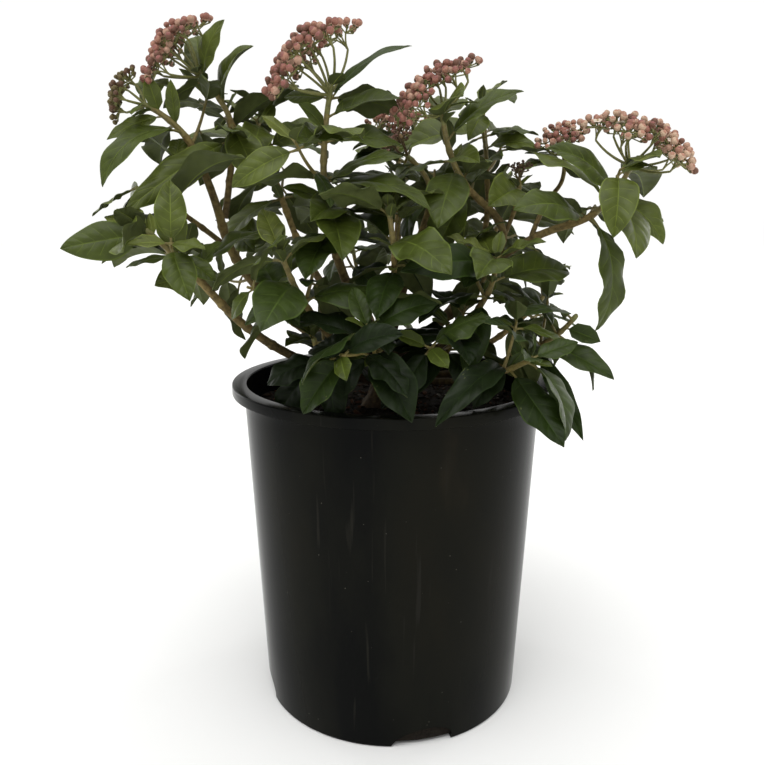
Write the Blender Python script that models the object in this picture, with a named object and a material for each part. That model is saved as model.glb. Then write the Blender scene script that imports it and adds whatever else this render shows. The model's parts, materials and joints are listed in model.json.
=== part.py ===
"""A viburnum shrub in its black nursery pot: pot, potting mix, short stem, boughs and leafy shoots.

The origin is the centre of the pot's flat underside. X runs to the right, Y away from the viewer
and Z up. Every limb runs from the limb that carries it, over an elbow, to its tip. Every mass of
foliage grows on from the tip of one bough by the rule in grow_crown.
"""

import math
import random
from collections import namedtuple

import bmesh
import bpy
from mathutils import Matrix, Vector
from mathutils.bvhtree import BVHTree

MM = 0.001
GAP = 0.3 * MM
UP = Vector((0, 0, 1))
RIGHT = Vector((1, 0, 0))
FRONT = Vector((0, -1, 0))
GOLDEN_ANGLE = math.pi * (3 - math.sqrt(5))

# The pot
POT_HEIGHT = 206 * MM
POT_BASE_RADIUS = 83 * MM
POT_TOP_RADIUS = 92.9 * MM
POT_WALL = 1.8 * MM
POT_FLOOR = 2.2 * MM
POT_SEGMENTS = 48
RIM_RADIUS = 100 * MM
RIM_DROP = 6.4 * MM
RIM_WALL = 1.6 * MM
RIM_ROUND = 0.8 * MM
FOOT_ROUND = 1.2 * MM
NOTCH_COUNT = 4
NOTCH_WIDTH = 37 * MM
NOTCH_HEIGHT = 11 * MM
NOTCH_DEPTH = 7 * MM
NOTCH_SKEW = 0.22
NOTCH_ARC_POINTS = 9
NOTCH_LIP = 0.1 * MM
FIRST_NOTCH = math.radians(-77)
SMOOTH_PLASTIC = math.radians(40)

# The potting mix
MIX_TOP = 188 * MM
MIX_WAVE = 1.6 * MM
MIX_WAVES = ((3, 40, 0.0), (7, 0, 1.3))
MIX_FLAT_RADIUS = 24 * MM
MIX_RINGS = 3

# The short stem
TRUNK_FOOT = Vector((-5, 1, 188.3)) * MM
TRUNK_FORK = Vector((-1, 2, 226)) * MM
TRUNK_FORK_RADIUS = 7.5 * MM
TRUNK_TAPER = 0.25
TRUNK_FLARE = 7 * MM
TRUNK_FLARE_HEIGHT = 0.35
TRUNK_LOBES = 5
TRUNK_LOBE_DEPTH = 0.12
TRUNK_RINGS = 8
TRUNK_SIDES = 12
SMOOTH_BARK = math.radians(50)

# Boughs and the stems that go on from them
BOUGH_SIDES = 5
BOUGH_STEPS = 5
STEM_SIDES = 3
STEM_STEPS = 5
STEM_TIP_RADIUS = 1.4 * MM
LEAD = 1.5 * MM
ELBOW_SHARE = 0.45
LEAST_SINE = 0.3
LONGEST_CUT = 40 * MM
CUTS_TRIED = 14

# Side twigs: places along the stem, lengths, and how far they run out, along the stem and up
TWIG_SIDES = 3
TWIG_STEPS = 3
TWIG_RADIUS = 1.15 * MM
TWIG_TIP_RADIUS = 0.75 * MM
FIRST_TWIG = 0.22
TWIG_SPACING = 0.3
TWIG_SHIFT = 0.05
TWIG_TURN = 45
TWIG_TURN_SPREAD = 20
TWIG_LENGTHS = (24 * MM, 36 * MM)
TWIG_OUT = 0.8
TWIG_ALONG = 0.35
TWIG_UP = 0.25
TWIG_ELBOW = 0.5
TWIG_PAIRS = 2
TWIG_LEAF_TURN = 40
TWIG_LEAF_SHARE = 0.8

# Leaves: their blade, their places along the stem, and how much each may differ
LEAF_WIDTH_SHARE = 0.46
LEAF_KEEL = 0.6 * MM
LEAF_ROOT_WIDTH = 1.7 * MM
LEAF_FOLD = 0.08
LEAF_STATIONS = ((0.0, 0.0), (0.32, 0.94), (0.7, 0.84))
LEAF_LIFTS = (-6, 36)
LEAF_FACE_UP = 0.55
ROOT_SHARE = 0.2
ROOT_OFFSET = 0.2
FIRST_PAIR = 0.75
LAST_PAIR = 0.97
END_LEAF_SIZE = 0.82
TURN_SPREAD = 10
LIFT_SPREAD = 12
ROLL_SPREAD = 35
DROOP_RANGE = (0.7, 1.2)
SIZE_RANGE = (0.88, 1.08)

# The room that a twig or leaf keeps from the others, and the changes tried where it has none
CLEARANCE = 0.45 * MM
TURNS_TRIED = (0, 14, -14, 28, -28, 42, -42)
LENGTHS_TRIED = (1.0, 0.78, 0.6)
NUDGES_TRIED = ((0, 0, 0), (0, -8, 0), (0, 0, 8), (8, 0, 0), (-8, 0, 0), (0, -14, 6), (0, 0, -10))

# Joined masses are rid of edges shorter than this where that leaves no sliver
SHORT_EDGE = 0.5 * MM
SLIVER_AREA = 0.002 * MM * MM
LEAST_COSINE = 0.5

# Flower heads: a dome of blobs, each a cluster of buds on its own ray
HEAD_STALK = 0.8
HEAD_DOME = 0.4
BLOB_SPREAD = 0.42
BLOB_SIZES = (0.88, 1.08)
BLOB_TURN_SPREAD = 0.2
BLOB_SQUASH = 0.56
RAY_SIDES = 3
RAY_RADIUS = 0.8 * MM
RAY_START = 0.8
RAY_ELBOW = 0.4

Bough = namedtuple("Bough", "name parent at elbow tip base_radius tip_radius")
Mass = namedtuple("Mass", "name bough tip pairs turn length droop twigs head")
FrontLeaf = namedtuple("FrontLeaf", "mass at tip width droop facing")

# Each bough: what carries it, how far along, its elbow and tip, and its radius at each end, in mm.
# One with no elbow goes straight on from the end of the limb that carries it.
BOUGHS = (
    Bough("bough_left_low", "trunk", 0.40, (-72, -16, 213), (-107, -50, 272), 3.2, 2.2),
    Bough("bough_left_high", "trunk", 0.64, (-98, -2, 250), (-102, -21, 312), 3.3, 2.5),
    Bough("bough_left_end", "bough_left_high", 1.0, None, (-111, -28, 341), 2.5, 2.1),
    Bough("bough_left_top", "bough_left_high", 0.9, (-95, -14, 326), (-93, -12, 347), 2.0, 1.9),
    Bough("bough_left_side", "bough_left_high", 0.78, (-108, -30, 300), (-116, -42, 308), 1.7, 1.4),
    Bough("bough_centre_left", "trunk", 0.93, (-26, -22, 256), (-33, -38, 292), 3.1, 2.6),
    Bough("bough_back_left", "trunk", 0.80, (-52, 22, 258), (-70, 30, 314), 2.9, 1.9),
    Bough("bough_right", "trunk", 0.80, (44, -8, 246), (63, -15, 286), 3.6, 2.6),
    Bough("bough_right_inner", "bough_right", 1.0, None, (50, -23, 316), 2.4, 2.1),
    Bough("bough_right_outer", "bough_right", 0.88, (80, -18, 296), (104, -21, 302), 2.4, 2.2),
    Bough("bough_right_side", "bough_right_outer", 0.4, (90, -2, 312), (100, 5, 322), 1.6, 1.3),
    Bough("bough_right_spent", "bough_right", 0.94, (70, -8, 300), (73, -11, 312), 1.5, 1.2),
    Bough("bough_right_back", "bough_right", 0.66, (62, 14, 296), (59, 17, 328), 2.0, 1.5),
    Bough("bough_centre", "trunk", 1.0, None, (22, -8, 310), 2.8, 2.0),
    Bough("bough_front_left", "trunk", 0.62, (-34, -38, 230), (-46, -60, 258), 2.7, 1.8),
    Bough("bough_front", "trunk", 0.84, (0, -32, 246), (1, -52, 276), 2.5, 1.6),
    Bough("bough_front_low", "trunk", 0.42, (-4, -42, 212), (-8, -68, 232), 2.4, 1.7),
    Bough("bough_inner_left", "trunk", 0.52, (-26, -22, 212), (-36, -38, 222), 2.3, 1.6),
    Bough("bough_inner_right", "trunk", 0.58, (24, -24, 216), (30, -40, 228), 2.3, 1.6),
    Bough("bough_front_right", "trunk", 0.66, (38, -28, 228), (52, -36, 258), 2.6, 1.7),
    Bough("bough_rim_right", "trunk", 0.46, (44, -36, 208), (60, -60, 222), 2.4, 1.6),
    Bough("bough_right_low", "trunk", 0.44, (56, -6, 208), (86, -18, 228), 2.6, 1.7),
    Bough("bough_back_right", "trunk", 0.74, (46, 42, 238), (68, 66, 288), 2.9, 1.9),
    Bough("bough_back", "trunk", 0.90, (4, 36, 258), (4, 54, 318), 2.9, 1.9),
    Bough("bough_back_low", "trunk", 0.48, (-8, 54, 214), (-20, 88, 246), 2.6, 1.8),
    Bough("bough_back_left_low", "trunk", 0.60, (-60, 40, 220), (-94, 56, 258), 2.8, 1.8),
    Bough("bough_back_right_low", "trunk", 0.40, (56, 36, 208), (90, 54, 236), 2.6, 1.8),
)

# Each mass: its bough, the tip of its stem in mm, its pairs of leaves, the turn of the first pair in
# degrees, the leaves' length in mm, their droop in degrees, its side twigs and its flower head
MASSES = (
    Mass("foliage_left_low", "bough_left_low", (-131, -64, 300), 3, 70, 56, 40, 2, None),
    Mass("foliage_left_end", "bough_left_end", (-136, -38, 367), 3, 20, 52, 70, 1, "young"),
    Mass("foliage_left_top", "bough_left_top", (-110, -20, 385), 3, 75, 48, 30, 1, "pink_left"),
    Mass("foliage_left_side", "bough_left_side", (-138, -54, 322), 2, 20, 58, 80, 1, None),
    Mass("foliage_centre_left", "bough_centre_left", (-33, -45, 374), 5, 10, 56, 50, 2, "pink_centre"),
    Mass("foliage_back_left", "bough_back_left", (-80, 36, 370), 4, 30, 56, 55, 2, None),
    Mass("foliage_right_inner", "bough_right_inner", (27, -35, 365), 3, 60, 54, 65, 1, "pink_inner"),
    Mass("foliage_right_outer", "bough_right_outer", (137, -22, 337), 3, 30, 60, 70, 2, "pink_right"),
    Mass("foliage_right_side", "bough_right_side", (104, 8, 344), 1, 60, 46, 50, 0, "pink_side"),
    Mass("foliage_right_spent", "bough_right_spent", (74, -12, 328), 1, 10, 48, 50, 0, "spent"),
    Mass("foliage_right_back", "bough_right_back", (55, 22, 374), 4, 20, 54, 55, 2, None),
    Mass("foliage_centre", "bough_centre", (8, -5, 342), 2, 40, 48, 60, 1, "tan"),
    Mass("foliage_front_left", "bough_front_left", (-58, -74, 288), 3, 10, 56, 60, 2, None),
    Mass("foliage_front", "bough_front", (-2, -62, 312), 3, 30, 54, 60, 1, None),
    Mass("foliage_front_low", "bough_front_low", (-12, -86, 250), 3, 20, 52, 60, 2, None),
    Mass("foliage_inner_left", "bough_inner_left", (-44, -52, 240), 2, 60, 50, 60, 2, None),
    Mass("foliage_inner_right", "bough_inner_right", (32, -56, 248), 2, 20, 52, 60, 2, None),
    Mass("foliage_front_right", "bough_front_right", (58, -46, 284), 3, 80, 56, 60, 1, None),
    Mass("foliage_rim_right", "bough_rim_right", (74, -80, 234), 2, 30, 54, 75, 1, None),
    Mass("foliage_right_low", "bough_right_low", (108, -30, 250), 3, 40, 54, 60, 1, None),
    Mass("foliage_back_right", "bough_back_right", (82, 94, 307), 4, 10, 58, 55, 2, "pink_back"),
    Mass("foliage_back", "bough_back", (4, 66, 355), 4, 50, 56, 50, 2, "pink_far"),
    Mass("foliage_back_low", "bough_back_low", (-30, 112, 282), 3, 30, 58, 60, 2, None),
    Mass("foliage_back_left_low", "bough_back_left_low", (-120, 72, 302), 4, 60, 58, 60, 2, None),
    Mass("foliage_back_right_low", "bough_back_right_low", (120, 78, 268), 3, 20, 58, 60, 2, None),
)

# Single leaves that show most from the front: their mass, where on its stem they grow, their tip in
# mm, their width as a share of their length, their droop in degrees, and how far they face the front
FRONT_LEAVES = (
    FrontLeaf("foliage_left_low", 0.95, (-172, -78, 290), 0.46, 30, 0.8),
    FrontLeaf("foliage_left_low", 0.50, (-120, -66, 324), 0.40, 24, 0.9),
    FrontLeaf("foliage_left_low", 0.15, (-125, -74, 271), 0.60, 40, 0.6),
    FrontLeaf("foliage_left_low", 0.20, (-91, -62, 294), 0.45, 40, 0.5),
    FrontLeaf("foliage_left_top", 0.20, (-144, -62, 309), 0.22, 50, 0.95),
    FrontLeaf("foliage_left_top", 0.60, (-77, -22, 399), 0.46, 80, 0.35),
    FrontLeaf("foliage_left_top", 0.92, (-92, -26, 412), 0.40, 60, 0.45),
    FrontLeaf("foliage_left_end", 0.45, (-153, -62, 322), 0.32, 100, 0.3),
    FrontLeaf("foliage_left_end", 0.80, (-133, -40, 381), 0.50, 20, 0.7),
    FrontLeaf("foliage_left_end", 0.55, (-122, -34, 380), 0.30, 40, 0.5),
    FrontLeaf("foliage_left_end", 0.75, (-155, -46, 348), 0.32, 40, 0.6),
    FrontLeaf("foliage_centre_left", 0.22, (-45, -78, 275), 0.50, 40, 0.3),
    FrontLeaf("foliage_centre_left", 0.46, (20, -72, 310), 0.34, 80, 0.3),
    FrontLeaf("foliage_centre_left", 0.50, (6, -64, 337), 0.38, 60, 0.3),
    FrontLeaf("foliage_centre_left", 0.74, (6, -42, 344), 0.42, 50, 0.4),
    FrontLeaf("foliage_centre_left", 0.92, (10, -40, 396), 0.20, 62, 0.3),
    FrontLeaf("foliage_centre_left", 0.95, (-59, -38, 380), 0.44, 30, 0.6),
    FrontLeaf("foliage_centre_left", 0.80, (-49, -58, 364), 0.56, 40, 0.5),
    FrontLeaf("foliage_centre_left", 0.86, (5, -45, 368), 0.38, 40, 0.4),
    FrontLeaf("foliage_centre_left", 0.72, (-65, -50, 353), 0.40, 40, 0.5),
    FrontLeaf("foliage_right_inner", 0.50, (24, -62, 301), 0.48, 50, 0.4),
    FrontLeaf("foliage_right_inner", 0.75, (72, -32, 374), 0.28, 60, 0.35),
    FrontLeaf("foliage_right_back", 0.50, (86, 0, 346), 0.36, 70, 0.5),
    FrontLeaf("foliage_right_spent", 0.70, (54, -38, 312), 0.62, 40, 0.7),
    FrontLeaf("foliage_right_outer", 0.62, (84, -42, 342), 0.38, 80, 0.5),
    FrontLeaf("foliage_right_outer", 0.60, (151, -44, 292), 0.48, 90, 0.5),
    FrontLeaf("foliage_right_outer", 0.36, (121, -26, 240), 0.28, 90, 0.06),
    FrontLeaf("foliage_front_right", 0.90, (4, -88, 280), 0.32, 40, 0.6),
    FrontLeaf("foliage_front_right", 0.15, (40, -66, 221), 0.30, 40, 0.4),
    FrontLeaf("foliage_front", 0.15, (-8, -90, 256), 0.44, 50, 0.3),
    FrontLeaf("foliage_rim_right", 0.25, (23, -112, 204), 0.22, 100, 0.5),
    FrontLeaf("foliage_rim_right", 0.40, (87, -104, 192), 0.38, 14, 0.5),
    FrontLeaf("foliage_right_low", 0.30, (126, -52, 216), 0.34, 40, 0.5),
    FrontLeaf("foliage_right_low", 0.12, (109, -66, 185), 0.19, 14, 0.8),
    FrontLeaf("foliage_front_left", 0.30, (-75, -88, 252), 0.40, 50, 0.4),
    FrontLeaf("foliage_left_top", 0.40, (-74, -34, 323), 0.42, 50, 0.6),
    FrontLeaf("foliage_centre_left", 0.42, (-59, -54, 322), 0.38, 40, 0.5),
    FrontLeaf("foliage_right_low", 0.75, (122, -34, 235), 0.55, 20, 0.7),
)

# Where the crown is open, or shows nothing but flowers, from the front: the middles and radii, in mm,
# of round openings in the upright plane through the pot's axis, as seen from EYE
EYE = Vector((0, -488, 314)) * MM
OPENING_SHARES = (0.35, 0.6, 0.85)
OPENINGS = (
    (-190, 260, 17), (-170, 260, 17), (-155, 270, 6), (-138, 239, 15), (-122, 232, 18), (-100, 268, 6),
    (-91, 264, 6), (-82, 223, 6), (-161, 328, 5), (-152, 338, 11), (-149, 312, 5), (-121, 362, 9),
    (-111, 361, 6), (-115, 308, 8), (-113, 295, 8), (-81, 319, 4), (-84, 383, 8), (-94, 283, 4),
    (-62, 367, 7), (-60, 339, 8), (-58, 298, 4), (-28, 345, 5), (-11, 385, 8), (0, 382, 4),
    (14, 343, 4), (15, 354, 6), (21, 332, 4), (27, 343, 7), (42, 352, 4), (45, 380, 6), (53, 390, 8),
    (50, 305, 4), (57, 352, 4), (62, 250, 6), (68, 226, 6), (72, 364, 7), (85, 364, 8), (80, 299, 5),
    (94, 288, 4), (93, 328, 8), (105, 210, 6), (107, 233, 5), (115, 286, 11), (117, 265, 11),
    (117, 249, 8), (121, 318, 8), (133, 325, 4), (137, 190, 10), (142, 288, 5), (153, 279, 10),
    (166, 323, 8), (-160, 376, 10), (-137, 395, 7), (-124, 404, 7), (-113, 412, 5), (-54, 397, 9),
    (-32, 406, 8), (6, 374, 6), (21, 382, 8), (38, 388, 7), (73, 340, 5), (107, 354, 8),
    (129, 351, 8), (147, 349, 8), (166, 346, 8),
    (-150, 253, 8), (-122, 247, 7), (-104, 241, 6), (-112, 279, 4), (-99, 271, 4), (-93, 263, 3),
    (-85, 222, 4), (97, 322, 5), (133, 337, 4), (67, 361, 5), (79, 358, 4), (91, 351, 4), (15, 355, 5),
    (42, 363, 4), (49, 345, 3), (82, 278, 4), (85, 294, 3), (100, 282, 4), (137, 237, 4), (-113, 353, 4),
    (106, 179, 4), (126, 197, 4),
)

# Each head: its width and height in mm, its lean to the right and away in mm, and its blobs
HEADS = {
    "young": (34, 10, -16, -4, 5),
    "pink_left": (56, 23, -21, -5, 9),
    "pink_centre": (68, 30, -22, -4, 9),
    "pink_inner": (62, 21, -13, -4, 9),
    "pink_right": (76, 30, 10, -3, 11),
    "pink_side": (38, 22, 0, -4, 5),
    "spent": (18, 14, 2, 0, 3),
    "tan": (24, 18, -8, 4, 3),
    "pink_back": (54, 26, 6, 6, 7),
    "pink_far": (52, 26, 0, 8, 7),
}


def clear_scene():
    for old in list(bpy.data.objects):
        bpy.data.objects.remove(old)


def material(name, colour, roughness, metallic=0.0):
    mat = bpy.data.materials.new(name)
    mat.use_nodes = True
    shader = mat.node_tree.nodes["Principled BSDF"]
    shader.inputs["Base Color"].default_value = (*colour, 1)
    shader.inputs["Roughness"].default_value = roughness
    shader.inputs["Metallic"].default_value = metallic
    return mat


def finished(name, bm, mat, smooth_angle=None):
    """Turns a bmesh into a named object in the scene."""
    mesh = bpy.data.meshes.new(name)
    bmesh.ops.recalc_face_normals(bm, faces=bm.faces)
    bm.to_mesh(mesh)
    bm.free()
    mesh.materials.append(mat)
    if smooth_angle is not None:
        mesh.shade_smooth()
        mesh.set_sharp_from_angle(angle=smooth_angle)
    obj = bpy.data.objects.new(name, mesh)
    bpy.context.scene.collection.objects.link(obj)
    return obj


def turned(bm, profile, steps):
    """Spins a profile of radius and height round the Z axis."""
    verts = [bm.verts.new((radius, 0, height)) for radius, height in profile]
    edges = [bm.edges.new(pair) for pair in zip(verts, verts[1:])]
    bmesh.ops.spin(bm, geom=verts + edges, cent=(0, 0, 0), axis=UP, angle=2 * math.pi, steps=steps)
    bmesh.ops.remove_doubles(bm, verts=bm.verts, dist=0.001 * MM)
    return bm


def wall_radius(height):
    """The outer radius of the pot's wall."""
    return POT_BASE_RADIUS + (POT_TOP_RADIUS - POT_BASE_RADIUS) * height / POT_HEIGHT


def pot_profile():
    flange = POT_HEIGHT - RIM_WALL
    skirt = POT_HEIGHT - RIM_DROP
    skirt_inner = RIM_RADIUS - RIM_WALL
    inner = wall_radius(POT_HEIGHT) - POT_WALL
    return [
        (0, 0),
        (POT_BASE_RADIUS - FOOT_ROUND, 0),
        (wall_radius(FOOT_ROUND), FOOT_ROUND),
        (wall_radius(flange), flange),
        (skirt_inner, flange),
        (skirt_inner, skirt),
        (RIM_RADIUS - RIM_ROUND / 2, skirt),
        (RIM_RADIUS, skirt + RIM_ROUND / 2),
        (RIM_RADIUS, POT_HEIGHT - RIM_ROUND),
        (RIM_RADIUS - RIM_ROUND, POT_HEIGHT),
        (inner + RIM_ROUND, POT_HEIGHT),
        (inner, POT_HEIGHT - RIM_ROUND),
        (wall_radius(POT_FLOOR) - POT_WALL, POT_FLOOR),
        (0, POT_FLOOR),
    ]


def notch_cutter():
    """Four arched blocks, one for each drain notch in the foot of the wall."""
    bm = bmesh.new()
    half = NOTCH_WIDTH / 2
    for n in range(NOTCH_COUNT):
        turn = Matrix.Rotation(FIRST_NOTCH + n * 2 * math.pi / NOTCH_COUNT, 4, "Z")
        outline = [(-half, -FOOT_ROUND), (half, -FOOT_ROUND)]
        for k in range(NOTCH_ARC_POINTS):
            angle = math.pi * k / (NOTCH_ARC_POINTS - 1)
            across = half * math.cos(angle) + NOTCH_SKEW * half * math.sin(angle)
            outline.append((across, NOTCH_HEIGHT * math.sin(angle) + NOTCH_LIP))
        inner = POT_BASE_RADIUS - NOTCH_DEPTH
        verts = [bm.verts.new(turn @ Vector((inner, across, up))) for across, up in outline]
        face = bm.faces.new(verts)
        block = bmesh.ops.extrude_face_region(bm, geom=[face])
        outward = turn @ Vector((2 * NOTCH_DEPTH, 0, 0))
        moved = [item for item in block["geom"] if isinstance(item, bmesh.types.BMVert)]
        bmesh.ops.translate(bm, vec=outward, verts=moved)
    cutter = finished("notch_cutter", bm, bpy.data.materials["black_plastic"])
    cutter.hide_render = True
    cutter.display_type = "WIRE"
    return cutter


def make_pot(mat):
    pot = finished("pot", turned(bmesh.new(), pot_profile(), POT_SEGMENTS), mat, SMOOTH_PLASTIC)
    cut = pot.modifiers.new("drain_notches", "BOOLEAN")
    cut.operation = "DIFFERENCE"
    cut.solver = "EXACT"
    cut.object = notch_cutter()
    return pot


def make_mix(mat):
    """The potting mix fills the pot to below the rim, flat where the stem stands."""
    bottom = POT_FLOOR + GAP
    edge = wall_radius(MIX_TOP) - POT_WALL - GAP
    profile = [(0, bottom), (wall_radius(bottom) - POT_WALL - GAP, bottom), (edge, MIX_TOP)]
    for k in range(1, MIX_RINGS + 1):
        profile.append((edge + (MIX_FLAT_RADIUS - edge) * k / MIX_RINGS, MIX_TOP))
    profile.append((0, MIX_TOP))
    bm = turned(bmesh.new(), profile, POT_SEGMENTS)
    for vert in bm.verts:
        out = vert.co.xy.length
        if vert.co.z > MIX_TOP - GAP and MIX_FLAT_RADIUS + MM < out < edge - MM:
            angle = math.atan2(vert.co.y, vert.co.x)
            for lobes, twist, start in MIX_WAVES:
                wave = math.sin(lobes * angle + twist * out / RIM_RADIUS + start)
                vert.co.z += MIX_WAVE * wave / len(MIX_WAVES)
    return finished("potting_mix", bm, mat, SMOOTH_PLASTIC)


def bent(start, elbow, tip, steps):
    """Points of a smooth bend from start over elbow to tip."""
    points = []
    for k in range(steps + 1):
        t = k / steps
        points.append(start * (1 - t) ** 2 + elbow * 2 * t * (1 - t) + tip * t ** 2)
    return points


def tapered(first, last, count):
    return [first + (last - first) * k / (count - 1) for k in range(count)]


def direction_at(path, k):
    return (path[min(k + 1, len(path) - 1)] - path[max(k - 1, 0)]).normalized()


def across_of(direction, reference=RIGHT):
    """A unit vector square to direction and as near reference as it can be."""
    flat = reference - direction * reference.dot(direction)
    if flat.length < LEAST_SINE:
        flat = UP - direction * UP.dot(direction)
    return flat.normalized()


def tube(bm, path, radii, sides, shape=None):
    """A closed tapering limb along path, with flat ends."""
    rings = []
    side = across_of(direction_at(path, 0))
    for k, (centre, radius) in enumerate(zip(path, radii)):
        along = direction_at(path, k)
        side = across_of(along, side)
        other = along.cross(side)
        ring = []
        for n in range(sides):
            angle = 2 * math.pi * n / sides
            reach = radius * (shape(k, angle) if shape else 1)
            ring.append(bm.verts.new(centre + (side * math.cos(angle) + other * math.sin(angle)) * reach))
        rings.append(ring)
    for low, high in zip(rings, rings[1:]):
        for n in range(sides):
            m = (n + 1) % sides
            bm.faces.new((low[n], low[m], high[m], high[n]))
    bm.faces.new(rings[0][::-1])
    bm.faces.new(rings[-1])
    return bm


def along_path(limb, share):
    """The point, direction and radius at a share of a limb's length."""
    place = share * (len(limb["path"]) - 1)
    k = min(int(place), len(limb["path"]) - 2)
    low, high = limb["path"][k], limb["path"][k + 1]
    rest = place - k
    radius = limb["radii"][k] + (limb["radii"][k + 1] - limb["radii"][k]) * rest
    return low.lerp(high, rest), (high - low).normalized(), radius


def trimmed(path, cut):
    """The path without its first stretch of the given length."""
    points = list(path)
    while len(points) > 2 and (points[1] - points[0]).length < cut:
        cut -= (points[1] - points[0]).length
        points.pop(0)
    first = points[0] + (points[1] - points[0]).normalized() * cut
    return [first] + points[1:]


def carried_on(carrier, tip, steps):
    """A path that goes on in line from a limb's end, a gap beyond it, and bends over to tip."""
    end = carrier["path"][-1]
    along = direction_at(carrier["path"], len(carrier["path"]) - 1)
    start = end + along * GAP
    straight = start + along * LEAD
    elbow = straight + along * (tip - straight).length * ELBOW_SHARE
    return [start] + bent(straight, elbow, tip, steps)


def grow_trunk():
    elbow = (TRUNK_FOOT + TRUNK_FORK) / 2
    elbow.x = TRUNK_FOOT.x
    path = bent(TRUNK_FOOT, elbow, TRUNK_FORK, TRUNK_RINGS - 1)
    radii = []
    for k in range(TRUNK_RINGS):
        t = k / (TRUNK_RINGS - 1)
        flare = TRUNK_FLARE * max(0.0, 1 - t / TRUNK_FLARE_HEIGHT) ** 2
        radii.append(TRUNK_FORK_RADIUS * (1 + TRUNK_TAPER * (1 - t)) + flare)
    return {"path": path, "radii": radii, "sides": TRUNK_SIDES}


def make_trunk(trunk, mat):
    def lobes(k, angle):
        fade = max(0.0, 1 - k / (TRUNK_FLARE_HEIGHT * TRUNK_RINGS))
        return 1 + TRUNK_LOBE_DEPTH * fade * math.cos(TRUNK_LOBES * angle)

    bm = tube(bmesh.new(), trunk["path"], trunk["radii"], TRUNK_SIDES, lobes)
    for vert in bm.verts:
        vert.co.z = max(vert.co.z, TRUNK_FOOT.z)
    return finished("trunk", bm, mat, SMOOTH_BARK)


def limb_shell(limb):
    return shell(tube, limb["path"], limb["radii"], limb["sides"])


def seated(path, base_radius, tip_radius, limbs):
    """A side limb's path with its foot cut back until it is a gap clear of the limbs so far."""
    others = [limb_shell(limb) for limb in limbs.values()]
    touching, clear = 0.0, LONGEST_CUT
    for _ in range(CUTS_TRIED):
        cut = (touching + clear) / 2
        rest = trimmed(path, cut)
        radii = tapered(base_radius + GAP, tip_radius + GAP, len(rest))
        if touches(shell(tube, rest, radii, BOUGH_SIDES), others):
            touching = cut
        else:
            clear = cut
    return trimmed(path, clear + GAP)


def grow_boughs(limbs):
    """Works out every bough's centre line and radii, and keeps them in limbs by name."""
    for row in BOUGHS:
        carrier = limbs[row.parent]
        tip = Vector(row.tip) * MM
        if row.elbow is None:
            path = carried_on(carrier, tip, BOUGH_STEPS)
        else:
            start, _, _ = along_path(carrier, row.at)
            path = bent(start, Vector(row.elbow) * MM, tip, BOUGH_STEPS)
            path = seated(path, row.base_radius * MM, row.tip_radius * MM, limbs)
        radii = tapered(row.base_radius * MM, row.tip_radius * MM, len(path))
        limbs[row.name] = {"path": path, "radii": radii, "sides": BOUGH_SIDES}


def as_leaf(root, ahead, face, length, droop, width):
    """A leaf's root, the ways it points and faces there, its length, its bend and its width share."""
    return {"root": root, "ahead": ahead, "face": face, "length": length, "droop": droop, "width": width}


def leaf_frame(along, outward, lift, roll):
    """The way a leaf points and the way its upper face looks."""
    ahead = (outward * math.cos(lift) + along * math.sin(lift)).normalized()
    face = along * math.cos(lift) - outward * math.sin(lift)
    face = face * (1 - LEAF_FACE_UP) + UP * LEAF_FACE_UP
    face = (face - ahead * face.dot(ahead)).normalized()
    return ahead, Matrix.Rotation(roll, 3, ahead) @ face


def leaf_spine(leaf, share):
    """The point on a leaf's arched midrib, the way to its side and the way its face looks there."""
    ahead, face = leaf["ahead"], leaf["face"]
    bend = leaf["droop"] * share
    radius = leaf["length"] / leaf["droop"]
    point = leaf["root"] + (ahead * math.sin(bend) - face * (1 - math.cos(bend))) * radius
    return point, ahead.cross(face), face * math.cos(bend) + ahead * math.sin(bend)


def leaf_mesh(bm, leaf, spare=0.0, first=0.0):
    """A folded blade with a keel and a narrow root; spare thickens it and first cuts it short."""
    rings = []
    for share, width in LEAF_STATIONS:
        share = max(share, first)
        point, side, face = leaf_spine(leaf, share)
        half = leaf["length"] * leaf["width"] * width / 2
        half = max(half, LEAF_ROOT_WIDTH / 2) + spare
        rise = half * LEAF_FOLD + spare
        keel = LEAF_KEEL + spare
        corners = (point + side * half + face * rise, point - side * half + face * rise, point - face * keel)
        rings.append([bm.verts.new(corner) for corner in corners])
    tip = bm.verts.new(leaf_spine(leaf, 1.0)[0])
    for low, high in zip(rings, rings[1:]):
        for n in range(3):
            m = (n + 1) % 3
            bm.faces.new((low[n], low[m], high[m], high[n]))
    for n in range(3):
        bm.faces.new((rings[-1][n], rings[-1][(n + 1) % 3], tip))
    bm.faces.new(rings[0][::-1])
    return bm


def shell(build, *args, **kwargs):
    """A small search tree of the surface that build makes, with its middle and its reach."""
    bm = build(bmesh.new(), *args, **kwargs)
    points = [vert.co.copy() for vert in bm.verts]
    middle = sum(points, Vector()) / len(points)
    reach = max((point - middle).length for point in points)
    tree = BVHTree.FromBMesh(bm)
    bm.free()
    return {"tree": tree, "middle": middle, "reach": reach}


def touches(piece, others):
    for other in others:
        if (piece["middle"] - other["middle"]).length > piece["reach"] + other["reach"]:
            continue
        if piece["tree"].overlap(other["tree"]):
            return True
    return False


def grow_stem(row, limbs):
    """The stem of a mass, a gap beyond its bough's tip and in line with it."""
    bough = limbs[row.bough]
    path = carried_on(bough, Vector(row.tip) * MM, STEM_STEPS)
    return {"path": path, "radii": tapered(bough["radii"][-1], STEM_TIP_RADIUS, len(path))}


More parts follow.
